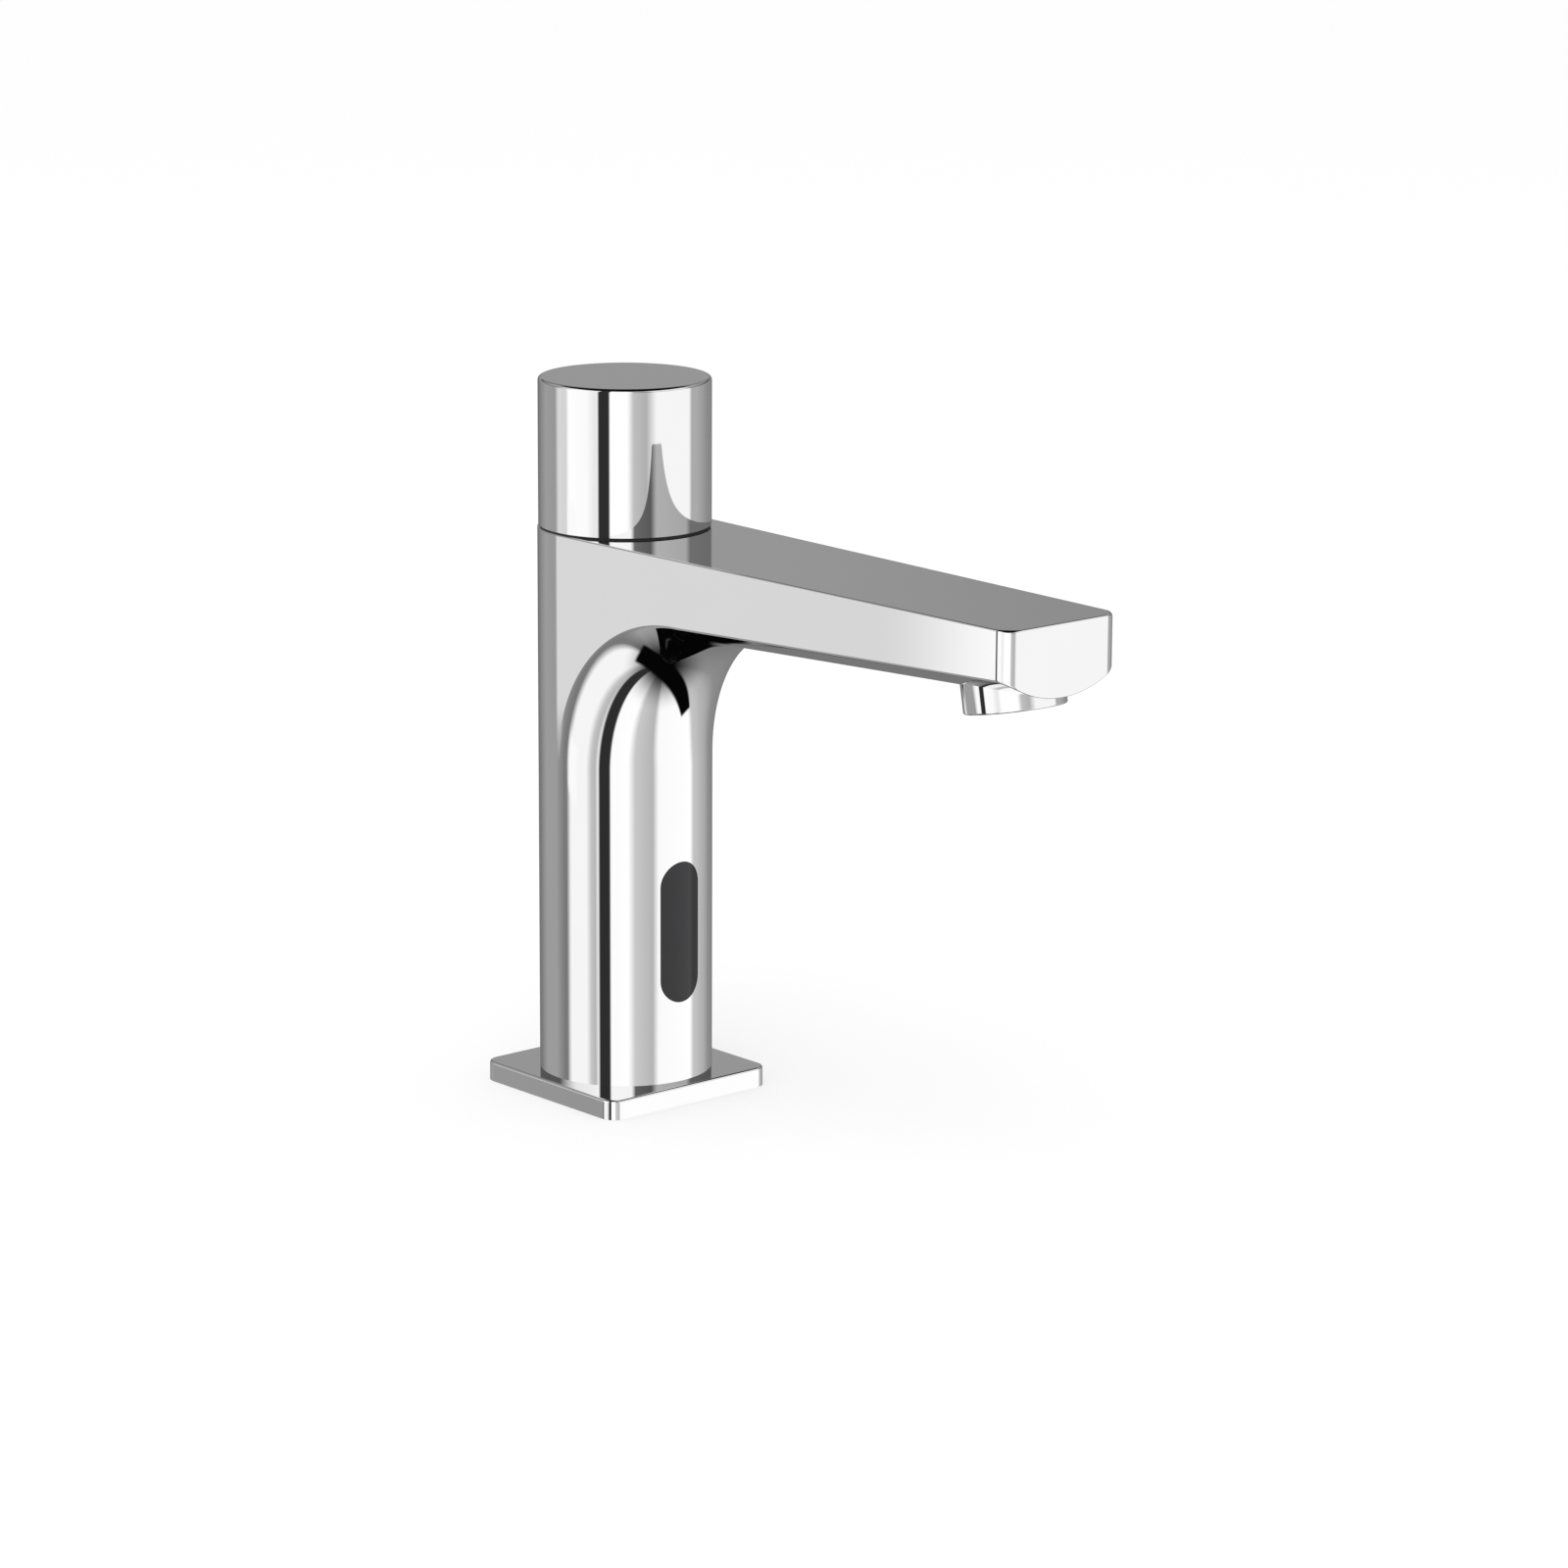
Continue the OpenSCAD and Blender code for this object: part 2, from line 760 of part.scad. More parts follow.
module ir_receiver() color([0.15, 0.1, 0.15]) eye(-eye_z);

module light_divider() color([0.1, 0.1, 0.1]) intersection() {
  front_block(room_w - 2 * fit, board_y + board_t, column_r, divider_t);
  cylinder(r = sensor_r - 2 * fit, h = body_h);
}

module sensor_bracket() color("silver") difference() {
  union() {
    translate([-sensor_w / 2, -sensor_back, block_h])
      cube([sensor_w, bracket_t, sensor_z + sensor_h / 2 - block_h]);
    translate([-sensor_w / 2, -sensor_back, block_h]) cube([sensor_w, bracket_l, bracket_t]);
  }
  at_sensor_screws() post(-over, bracket_t + over, small_pass_r);
  at_bracket_screws() post(block_h - over, block_h + bracket_t + over, screw_pass_r);
}

module bracket_screws() color("silver") at_bracket_screws()
  translate([0, 0, block_h + bracket_t]) rotate([180, 0, 0])
    pan_screw(screw_r, bracket_t + bracket_screw_bite, screw_head_r, screw_head_t);

module sensor_screws() color("silver") at_sensor_screws()
  pan_screw(small_screw_r, bracket_t + sensor_screw_bite, small_head_r, small_head_t);

// Plate of the valve between two heights, cut flat at the back to let the risers pass
module valve_plate(low, high) {
  translate([0, 0, low]) linear_extrude(height = high - low) intersection() {
    circle(r = bore_r - gap);
    translate([-column_r, -column_r]) square([column_d, column_r + valve_back_y]);
  }
}

module valve_gasket() color("dimgray") difference() {
  valve_plate(valve_top, web_z);
  in_front(port_ring_r) post(valve_top - over, web_z + over, port_r);
  in_front(duct_y) post(valve_top - over, web_z + over, duct_r);
  at_valve_screws() post(valve_top - over, web_z + over, screw_pass_r);
}

// The mixed water comes in through a slot, runs down to the annulus round the seat,
// and leaves from the seat through the middle, forwards and up
module valve_body() color([0.75, 0.75, 0.7]) difference() {
  slot_y = port_ring_r + port_r;
  valve_plate(valve_low, valve_top);
  at_valve_screws() post(valve_low - over, valve_top + over, screw_pass_r);
  translate([-port_r, -slot_y, valve_top - inflow_slot])
    cube([port_d, slot_y + inflow_y + inflow_r, inflow_slot + over]);
  translate([0, inflow_y, 0]) post(valve_low, valve_top, inflow_r);
  in_front(valve_y) {
    pipe(valve_low - over, valve_low + annulus_depth, annulus_r, port_r + seat_wall);
    post(valve_low - over, outflow_z, port_r);
  }
  translate([0, -valve_y, outflow_z]) rotate([90, 0, 0]) cylinder(r = duct_r, h = duct_y - valve_y);
  in_front(duct_y) post(outflow_z, valve_top + over, duct_r);
}

module diaphragm() color([0.1, 0.1, 0.1]) in_front(valve_y)
  pipe(bonnet_top, valve_low, diaphragm_d / 2, pilot_r);

// Bonnet with the armature tube: the spring stands in the ring shaped pole at its end
module valve_bonnet() color([0.2, 0.2, 0.22]) difference() {
  union() {
    valve_plate(bonnet_low, valve_low);
    in_front(valve_y) post(tube_low, bonnet_low + over, tube_r);
  }
  in_front(valve_y) {
    post(bonnet_top, valve_low + over, diaphragm_d / 2 + fit);
    post(plunger_top, bonnet_top + over, pilot_chamber_r);
    post(pole_top, bonnet_top, tube_bore_r);
    post(spring_low, bonnet_top, spring_bore_r);
  }
  at_valve_screws() post(bonnet_low - over, valve_low + over, screw_pass_r);
}

module plunger() color("lightsteelblue") in_front(valve_y) difference() {
  union() {
    post(plunger_low, plunger_top, plunger_d / 2);
    post(plunger_low, bonnet_top, plunger_tip_r);
  }
  post(plunger_low - over, spring_top, spring_bore_r);
}

// Height of the spring wire's centre after a number of turns: both end turns lie closed
function wire_rise(turn) =
  turn < 1 ? spring_wire * turn :
  turn > spring_turns - 1 ? spring_rise - spring_wire * (spring_turns - turn) :
  spring_wire + spring_lead * (turn - 1);

// Compression spring with closed ends, swept along a helix
module plunger_spring() color("silver") translate([0, -valve_y, spring_low + spring_wire / 2]) {
  n = spring_turns * rings_per_turn;
  sides = wire_sides;
  wire_r = spring_wire / 2;
  points = [for (i = [0 : n]) for (k = [0 : sides - 1])
    let (a = 360 * i / rings_per_turn, b = 360 * k / sides, r = spring_r + wire_r * cos(b))
    [r * cos(a), r * sin(a), wire_rise(i / rings_per_turn) + wire_r * sin(b)]];
  faces = concat(
    [[for (k = [0 : sides - 1]) k]],
    [[for (k = [sides - 1 : -1 : 0]) n * sides + k]],
    [for (i = [0 : n - 1]) for (k = [0 : sides - 1])
      [i * sides + k, (i + 1) * sides + k, i * sides + (k + 1) % sides]],
    [for (i = [0 : n - 1]) for (k = [0 : sides - 1])
      [i * sides + (k + 1) % sides, (i + 1) * sides + k, (i + 1) * sides + (k + 1) % sides]]
  );
  polyhedron(points = points, faces = faces, convexity = 8);
}

module coil_bobbin() color("ivory") translate([0, -valve_y, coil_low]) {
  pipe(0, coil_h, tube_r + fit + bobbin_wall, tube_r + fit);
  for (z = [0, coil_h - bobbin_flange_t]) pipe(z, z + bobbin_flange_t, bobbin_r, tube_r + fit);
}

module coil_winding() color("sienna") translate([0, -valve_y, coil_low])
  pipe(bobbin_flange_t, coil_h - bobbin_flange_t, winding_d / 2, tube_r + bobbin_wall + 2 * fit);

// Two round plates over the ends of the coil, joined by two strips beside it
module coil_frame() color("slategray") translate([0, -valve_y, coil_low]) {
  for (z = [-frame_t, coil_h]) pipe(z, z + frame_t, bobbin_r + 2 * fit, tube_r + fit);
  for (s = [-1, 1]) translate([s * (bobbin_r + fit + frame_t / 2), 0, coil_h / 2])
    cube([frame_t, frame_strip_w, coil_h + 2 * frame_t], center = true);
}

module coil_clip() color("silver") translate([0, -valve_y, coil_low - frame_t]) difference() {
  pipe(-clip_t, 0, tube_r + clip_w, tube_r);
  translate([-clip_slot_w / 2, -tube_d, -clip_t - over]) cube([clip_slot_w, tube_d, clip_t + 2 * over]);
}

module valve_screws() color("silver") at_valve_screws() translate([0, 0, bonnet_low])
  pan_screw(screw_r, web_z + valve_screw_bite - bonnet_low, screw_head_r, screw_head_t);

module cartridge_seals() color("black") at_ports()
  pipe(seat_z, seat_z + port_seal_h, port_seal_r + port_seal_w, port_seal_r);

module cartridge_base() color([0.85, 0.85, 0.82]) difference() {
  post(seat_z, disc_z, cartridge_r);
  at_ports() {
    post(seat_z - over, disc_z + over, port_r);
    pipe(seat_z - over, seat_z + port_seal_h, port_seal_r + port_seal_w + fit, port_seal_r - fit);
  }
}

module fixed_disc() color("white") difference() {
  post(disc_z, disc_z + disc_t, disc_r);
  at_ports() post(disc_z - over, disc_z + disc_t + over, port_r);
}

// Its blind groove joins the mixed port to the hot port, the cold port or both
module moving_disc() color("ivory") difference() {
  post(moving_z, carrier_z, turning_r);
  translate([0, 0, moving_z - over]) rotate([0, 0, mix_from]) rotate_extrude(angle = mix_angle)
    translate([port_ring_r - port_r, 0])
      square([turning_r - mix_rim - port_ring_r + port_r, disc_t / 2 + over]);
}

module disc_carrier() color("dimgray") difference() {
  post(carrier_z, collar_z, turning_r);
  hex_post(carrier_z - over, collar_z + over, hex_r + fit);
}

module spindle() color("khaki") difference() {
  union() {
    hex_post(carrier_z, collar_z + over, hex_r);
    post(collar_z, collar_z + collar_t, collar_r);
    post(collar_z, spindle_top, spindle_r);
  }
  pipe(stem_groove_z - stem_wire / 2 - fit, stem_groove_z + stem_wire / 2 + fit,
    spindle_r + over, spindle_r - stem_wire);
  translate([-spindle_d, flat_y, screw_z - grub_d]) cube([2 * spindle_d, spindle_r, spindle_top]);
}

module stem_o_ring() color("black") o_ring(stem_groove_z, spindle_r - stem_wire / 2, stem_wire);

module cartridge_housing() color([0.9, 0.9, 0.88]) difference() {
  post(disc_z, nut_seat_z, cartridge_r);
  post(disc_z - over, roof_z, housing_bore_r);
  post(roof_z - over, nut_seat_z + over, spindle_r + fit);
  pipe(nut_seat_z - roof_groove_depth, nut_seat_z + over,
    cartridge_r - roof_groove_wall, spindle_r + roof_groove_wall);
}

module cartridge_nut() color("goldenrod") difference() {
  pipe(nut_seat_z, nut_seat_z + nut_h, nut_d / 2, nut_wall_r);
  for (a = [0, 90]) rotate([0, 0, a])
    translate([-nut_d, -nut_slot_w / 2, nut_seat_z + nut_h - nut_slot_depth])
      cube([2 * nut_d, nut_slot_w, nut_slot_depth + over]);
}

// Ring on the neck with a curved wall at the back, whose ends stop the knob's lug
module stop_ring() color([0.8, 0.2, 0.15]) {
  wall_half_angle = 180 - knob_turn - lug_half_angle - lug_play;
  pipe(neck_top, neck_top + stop_t, neck_d / 2 - 2 * fit, hub_r + stop_key);
  pipe(neck_top - stop_key, neck_top + stop_key, nut_d / 2, hub_r + stop_key);
  rotate([0, 0, 180]) front_sector(stop_wall_in, stop_wall_out, wall_half_angle,
    neck_top + stop_t - stop_key, neck_top + stop_t + stop_wall_t);
}

module glide_ring() color([0.04, 0.04, 0.04]) {
  pipe(body_h, body_h + glide_t, glide_r, glide_bore_r);
  pipe(body_h, body_h + glide_h, knob_bore_r - fit, glide_bore_r);
}

module knob_shell() color("gainsboro") difference() {
  translate([0, 0, knob_low]) rotate_extrude() {
    square([knob_r - knob_edge_r, knob_h]);
    square([knob_r, knob_h - knob_edge_r]);
    translate([knob_r - knob_edge_r, knob_h - knob_edge_r]) circle(r = knob_edge_r, $fn = knob_edge_fn);
  }
  post(knob_low - over, knob_top - knob_top_t, knob_bore_r);
  at_grub_screw() post(0, column_d, grub_pass_d / 2);
}

// Hub on the spindle, a flange and ring inside the shell, four ribs and the stop lug
module knob_insert() color([0.3, 0.3, 0.32]) difference() {
  ring_r = knob_bore_r - fit;
  ring_bore_r = knob_bore_r - insert_ring_t;
  union() {
    post(insert_low - hub_skirt, hub_top, hub_r);
    post(insert_low, insert_low + insert_flange_t, ring_r);
    pipe(insert_low, knob_top - knob_top_t - fit, ring_r, ring_bore_r);
    for (a = [45 : 90 : 315]) rotate([0, 0, a]) translate([hub_r - over, -rib_t / 2, insert_low])
      cube([ring_bore_r - hub_r + over + gap, rib_t, hub_top - insert_low]);
    front_sector(stop_wall_in + gap, stop_wall_out - gap, lug_half_angle,
      neck_top + stop_t + gap, insert_low + over);
  }
  post(insert_low - hub_skirt - over, spindle_top + fit, spindle_r + fit);
  at_grub_screw() post(0, hub_r + over, grub_d / 2 + fit);
  at_grub_screw() post(hub_r, column_d, grub_pass_d / 2);
}

module knob_set_screw() color("dimgray") at_grub_screw() difference() {
  post(flat_y, flat_y + grub_l, grub_d / 2);
  hex_post(flat_y + grub_l - grub_hex_depth, flat_y + grub_l + over, grub_hex_r);
}

module aerator_housing() color("gainsboro") at_outlet() difference() {
  union() {
    rotate_extrude() {
      translate([0, ring_round]) square([ring_r, ring_h - ring_round]);
      square([ring_r - ring_round, ring_h]);
      translate([ring_r - ring_round, ring_round]) circle(r = ring_round, $fn = small_fn);
    }
    post(over, thread_top, thread_r);
  }
  post(-over, lip_h + over, lip_in_r);
  post(lip_h, thread_top + over, aerator_bore_r);
}

module aerator_washer() color("black") at_outlet()
  pipe(thread_top, thread_top + washer_t, thread_r - 2 * fit, aerator_bore_r - over);

// Outlet cup with a honeycomb grille at its mouth
module aerator_insert() color([0.75, 0.76, 0.78]) at_outlet() translate([0, 0, lip_h]) difference() {
  post(0, insert_h, aerator_bore_r - fit);
  post(grille_t, insert_h + over, insert_bore_r);
  for (i = [-cell_rings : cell_rings]) for (j = [-cell_rings : cell_rings]) if (abs(i + j) <= cell_rings)
    translate([cell_pitch * (i + j / 2), cell_pitch * j * sqrt(3) / 2, 0]) rotate([0, 0, 30])
      hex_post(-over, grille_t + over, cell_w / sqrt(3));
}

module flow_limiter() color("seagreen") at_outlet() translate([0, 0, screen_z - limiter_t]) difference() {
  post(0, limiter_t, insert_bore_r - fit);
  for (a = [0 : 45 : 315]) rotate([0, 0, a]) translate([limiter_ring_r, 0, 0])
    post(-over, limiter_t + over, limiter_hole_r);
}

// Domed strainer with a flat rim
module aerator_screen() color("silver") at_outlet() translate([0, 0, screen_z]) difference() {
  union() {
    post(0, screen_rim_t, aerator_bore_r - fit);
    cylinder(r1 = aerator_bore_r - over, r2 = screen_top_r, h = screen_h);
  }
  translate([0, 0, -screen_skin]) cylinder(r1 = aerator_bore_r - over, r2 = screen_top_r, h = screen_h);
  for (a = [0 : 30 : 330]) rotate([0, 0, a]) translate([screen_ring_r, 0, 0])
    post(-over, screen_h + over, screen_hole_r);
}

body();
base_plate();
base_gasket();
inlet_block();
block_o_ring();
cable_grommet();
hot_riser();
cold_riser();
riser_o_rings();
sensor_window();
window_gasket();
sensor_housing();
sensor_board();
ir_emitter();
ir_receiver();
light_divider();
sensor_bracket();
bracket_screws();
sensor_screws();
valve_gasket();
valve_body();
diaphragm();
valve_bonnet();
plunger();
plunger_spring();
coil_bobbin();
coil_winding();
coil_frame();
coil_clip();
valve_screws();
cartridge_seals();
cartridge_base();
fixed_disc();
moving_disc();
disc_carrier();
spindle();
stem_o_ring();
cartridge_housing();
cartridge_nut();
stop_ring();
glide_ring();
knob_shell();
knob_insert();
knob_set_screw();
aerator_housing();
aerator_washer();
aerator_insert();
flow_limiter();
aerator_screen();
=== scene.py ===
"""Sensor tap: polished meshes, finishes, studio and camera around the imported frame."""
import json
import math

import bpy
import numpy as np
from mathutils import Matrix, Vector
from mathutils.kdtree import KDTree


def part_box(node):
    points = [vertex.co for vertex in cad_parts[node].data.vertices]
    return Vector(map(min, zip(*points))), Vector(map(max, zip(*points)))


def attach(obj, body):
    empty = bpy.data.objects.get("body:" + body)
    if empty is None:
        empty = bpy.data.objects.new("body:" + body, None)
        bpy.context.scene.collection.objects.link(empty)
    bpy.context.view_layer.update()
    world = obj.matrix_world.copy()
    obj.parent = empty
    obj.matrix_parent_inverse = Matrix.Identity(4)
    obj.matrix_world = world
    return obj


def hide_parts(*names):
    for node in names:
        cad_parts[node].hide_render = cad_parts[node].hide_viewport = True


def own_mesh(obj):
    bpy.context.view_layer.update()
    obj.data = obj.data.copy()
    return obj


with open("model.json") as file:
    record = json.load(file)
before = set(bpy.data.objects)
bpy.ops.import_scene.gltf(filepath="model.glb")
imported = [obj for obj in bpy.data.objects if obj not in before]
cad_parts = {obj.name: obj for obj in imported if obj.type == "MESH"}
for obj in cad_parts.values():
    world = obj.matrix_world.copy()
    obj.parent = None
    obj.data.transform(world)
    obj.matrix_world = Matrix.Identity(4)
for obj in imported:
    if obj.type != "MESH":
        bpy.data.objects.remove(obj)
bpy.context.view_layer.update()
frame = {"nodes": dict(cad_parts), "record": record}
NODES = frame["nodes"]

# Shapes are worked out in millimetres and written to the meshes in metres
MM = 0.001


def box(node):
    """Lowest and highest corner of a CAD node, in millimetres."""
    low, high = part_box(node)
    return np.array(low) / MM, np.array(high) / MM


BODY_LOW, BODY_HIGH = box("body")
KNOB_LOW, KNOB_HIGH = box("knob_shell")
PLATE_HIGH = box("base_plate")[1]
GASKET_HIGH = box("base_gasket")[1]
SPRING_LOW, SPRING_HIGH = box("plunger_spring")

COLUMN_R = BODY_HIGH[0]
REACH = -BODY_LOW[1]
NECK_TOP = BODY_HIGH[2]
TOP_Z = box("glide_ring")[0][2]
PLATE_T = PLATE_HIGH[2]
PLATE_HALF = PLATE_HIGH[0]
KNOB_R = KNOB_HIGH[0]

# Column, bend and spout. The sides are ROOT_H high at the column and NOSE_H at the nose, and the
# middle of the underside hangs BELLY lower. The bend reaches BEND_SIDE at the sides and BEND_MID
# past the column in the middle. The underside's sections run on to FAR_Y, past the nose.
BORE_R = 19.6
WEB_Z = 112.0
NOSE_HALF = 18.2
ROOT_H = 19.4
NOSE_H = 12.3
BELLY = 5.8
LOW_EDGE = 0.4
CORNER_R = 4.6
BEND_Z = TOP_Z - 59.5
BEND_SIDE = 45.0
BEND_MID = 33.0
FAR_Y = REACH + 6.0
TOP_EDGE_R = 0.45
CORNER_FULLNESS = 0.5
TAPER = (COLUMN_R - NOSE_HALF) / REACH
RISE = (ROOT_H - NOSE_H) / REACH
SLOPE = math.atan(TAPER)

# Neck and cartridge bore, under the knob
NECK_R = 17.5
NUT_R = 14.05
NUT_Z = 148.0
CARTRIDGE_R = 12.55
SEAT_Z = 120.0

# Sensor window
WINDOW_HALF = 6.25
WINDOW_TALL = 37.2
WINDOW_Z = 45.0
WINDOW_R = 22.45
WINDOW_BACK_R = 19.95
WINDOW_EDGE = 0.15
FIT = 0.05

# Knob
KNOB_WALL = 2.25
KNOB_TOP_T = 3.5
KNOB_EDGE_R = 1.0
SCREW_Z = 167.0
SCREW_R = 2.2

# Base plate
PLATE_CORNER_R = 4.0
PLATE_EDGE_R = 0.6
GROOVE_T = GASKET_HIGH[2]
GROOVE_OUT_R = GASKET_HIGH[0] + FIT
GROOVE_IN_R = GROOVE_OUT_R - 2.5

# Outlet; the patch round it starts HOLE_START behind the nose
OUTLET_Y = REACH - 16.4
OUTLET_Z = TOP_Z - 23.5
OUTLET_TILT = math.radians(11)
OUTLET_PLACE = np.array([0.0, -OUTLET_Y, OUTLET_Z])
OUTLET_AXIS = np.array([0.0, math.sin(OUTLET_TILT), math.cos(OUTLET_TILT)])
RING_R = 12.55
RING_H = 8.8
RING_ROUND = 0.5
LIP_H = 1.6
LIP_R = 9.9
AERATOR_BORE_R = 10.6
THREAD_R = 12.0
THREAD_TOP = 13.0
SOCKET_TOP = 14.5
HOLE_START = 31.0

# Valve spring
SPRING_WIRE = 0.6
SPRING_TURNS = 6

# Fineness of the meshes
QUARTER_STEPS = 36
BEND_STEPS = 48
EDGE_STEPS = 8
WALL_STEPS = 12
FACE_STEPS = 8
ROUND_STEPS = 12
HOLE_ROWS = 20
SPOUT_STEPS = 9
NOSE_STEPS = 11
NOSE_ROWS = 12
CORNER_STEPS = 18
SOCKET_STEPS = 360
SLOT_STEPS = 48
SLOT_SIDE_STEPS = 6
LENS_ROWS = 14
LENS_EDGE_STEPS = 4
SCREW_HOLE_STEPS = 32
COIL_STEPS = 48
WIRE_STEPS = 16
FLOOR_STEPS = 64

# Corners closer than WELD are one place, and normals there share a vertex if their dot product is
# above SAME_NORMAL
WELD = 0.006
SAME_NORMAL = 0.9998

# Share of the light that the chrome reflects
CHROME = 0.93


def line(start, end, steps=1):
    """Straight stretch of a profile or plan; the surface faces to the right of its course."""
    (a, b), (c, d) = start, end
    size = math.hypot(c - a, d - b)
    normal = ((d - b) / size, (a - c) / size)
    return [(a + (c - a) * i / steps, b + (d - b) * i / steps, *normal) for i in range(steps + 1)]


def arc(centre, radius, start, end, steps):
    """Round stretch about a centre, between two angles in degrees; the surface faces outwards."""
    found = []
    for i in range(steps + 1):
        a = math.radians(start + (end - start) * i / steps)
        c, s = math.cos(a), math.sin(a)
        found.append((centre[0] + radius * c, centre[1] + radius * s, c, s))
    return found


def path(*points):
    """Straight stretches through a row of points."""
    return [line(start, end) for start, end in zip(points, points[1:])]


class Shell:
    """A mesh gathered patch by patch, whose vertices keep the true normals of its surfaces."""

    def __init__(self, tilt=0.0, place=(0.0, 0.0, 0.0)):
        c, s = math.cos(tilt), math.sin(tilt)
        self.turn = np.array([[1, 0, 0], [0, c, -s], [0, s, c]])
        self.place = np.array(place)
        self.corners, self.normals, self.faces = [], [], []

    def quads(self, points, normals):
        """Adds a grid of points, rows by columns, with the normal at each."""
        points = np.asarray(points, float)
        normals = np.broadcast_to(np.asarray(normals, float), points.shape)
        first = len(self.corners)
        rows, columns = points.shape[:2]
        self.corners.extend(points.reshape(-1, 3))
        self.normals.extend(normals.reshape(-1, 3))
        for i in range(rows - 1):
            for j in range(columns - 1):
                a = first + i * columns + j
                self.faces.append([a, a + 1, a + columns + 1, a + columns])

    def halves(self, points, normals):
        """Adds a grid and its mirror image across the middle plane."""
        points = np.asarray(points, float)
        normals = np.broadcast_to(np.asarray(normals, float), points.shape)
        flip = np.array([-1.0, 1.0, 1.0])
        self.quads(points, normals)
        self.quads(points * flip, normals * flip)

    def lathe(self, profile, steps=4 * QUARTER_STEPS):
        """Turns the stretches of a profile of (radius, height, normal) about the upright axis."""
        angles = np.arange(steps + 1) * 2 * math.pi / steps
        for piece in profile:
            r, z, nr, nz = (np.array(v)[:, None] for v in zip(*piece))
            c, s = np.cos(angles)[None, :], np.sin(angles)[None, :]
            flat = np.ones_like(c)
            self.quads(np.stack([r * c, r * s, z * flat], 2), np.stack([nr * c, nr * s, nz * flat], 2))

    def places(self):
        """Numbers the corners by place and gives the points; corners closer than WELD are one place."""
        points = np.array(self.corners) @ self.turn + self.place
        tree = KDTree(len(points))
        for i, p in enumerate(points):
            tree.insert(p, i)
        tree.balance()
        number = np.full(len(points), -1)
        kept = []
        for i, p in enumerate(points):
            if number[i] < 0:
                for _, j, _ in tree.find_range(p, WELD):
                    if number[j] < 0:
                        number[j] = len(kept)
                kept.append(p)
        return np.array(kept), number

    def split(self, places, number, normals):
        """Gives each place a vertex for every direction that the surfaces face there."""
        at_place, vertex_of, points, vertex_normals = {}, [], [], []
        for k, normal in zip(number, normals):
            here = at_place.setdefault(int(k), [])
            same = [v for v in here if vertex_normals[v] @ normal > SAME_NORMAL]
            if not same:
                same = [len(points)]
                here.append(same[0])
                points.append(places[k])
                vertex_normals.append(normal)
            vertex_of.append(same[0])
        return vertex_of, points, vertex_normals

    def rings(self, places, number, normals):
        """Faces without the sides that closed up, each turned to face along its normals."""
        for face in self.faces:
            ring = [k for n, k in enumerate(face) if number[k] != number[face[n - 1]]]
            if len({number[k] for k in ring}) < 3:
                continue
            p = places[number[ring]]
            facing = sum(np.cross(p[n] - p[0], p[n + 1] - p[0]) for n in range(1, len(p) - 1))
            if facing @ normals[ring].sum(0) < 0:
                ring.reverse()
            yield ring

    def build(self, name):
        """Makes the Blender object. Surfaces that meet at a crease have vertices of their own there."""
        places, number = self.places()
        normals = np.array(self.normals) @ self.turn
        normals /= np.linalg.norm(normals, axis=1, keepdims=True)
        vertex_of, points, vertex_normals = self.split(places, number, normals)
        faces = [[vertex_of[k] for k in ring] for ring in self.rings(places, number, normals)]
        mesh = bpy.data.meshes.new(name)
        mesh.from_pydata(np.array(points) * MM, [], faces)
        mesh.polygons.foreach_set("use_smooth", [True] * len(mesh.polygons))
        mesh.normals_split_custom_set_from_vertices(vertex_normals)
        piece = bpy.data.objects.new(name, mesh)
        bpy.context.scene.collection.objects.link(piece)
        return piece


def half_width(y):
    """Half the body's width at a reach in front of the column's axis."""
    return COLUMN_R - TAPER * y


def side_low(y):
    """Height of the spout side's lower edge at a reach."""
    return TOP_Z - ROOT_H + RISE * y


def section_arc(side, middle):
    """Sag, radius and half angle of the arc of an underside section, from its side and middle."""
    w = half_width(side[0])
    sag = np.hypot(middle[0] - side[0], middle[1] - side[1])
    r = (w * w + sag * sag) / (2 * sag)
    return sag, r, np.arctan2(w, r - sag)


def section_point(lines, share):
    """Point of an underside section: share runs from -1 at the left edge to 0 in the middle."""
    side, middle = lines
    sag, r, half_angle = section_arc(side, middle)
    a = half_angle * share
    depth = (sag - r * (1 - np.cos(a))) / sag
    y, z = (side[k] + (middle[k] - side[k]) * depth for k in (0, 1))
    return np.stack(np.broadcast_arrays(r * np.sin(a), -y, z), -1)


def share_at(lines, x):
    """Share of a section at a sideways place."""
    _, r, half_angle = section_arc(*lines)
    return np.arcsin(np.clip(x / r, -1, 1)) / half_angle


def bend_lines(angle):
    """Side and middle of a section of the bend, each as (reach, height).

    The angle runs from 0 on the column to a right angle at the spout."""
    c, s = 1 - np.cos(angle), np.sin(angle)
    side_z, middle_z = side_low(BEND_SIDE), side_low(COLUMN_R + BEND_MID) - BELLY
    return ((BEND_SIDE * c, BEND_Z + (side_z - BEND_Z) * s),
            (COLUMN_R + BEND_MID * c, BEND_Z + (middle_z - BEND_Z) * s))


def spout_lines(t):
    """Side and middle of a section of the straight underside; t from 0 at the bend to 1 past the nose."""
    side_y = BEND_SIDE + (FAR_Y - BEND_SIDE) * t
    middle_y = COLUMN_R + BEND_MID + (FAR_Y - COLUMN_R - BEND_MID) * t
    return (side_y, side_low(side_y)), (middle_y, side_low(middle_y) - BELLY)


def bend_point(angle, share):
    return section_point(bend_lines(angle), share)


def spout_point(t, share):
    return section_point(spout_lines(t), share)


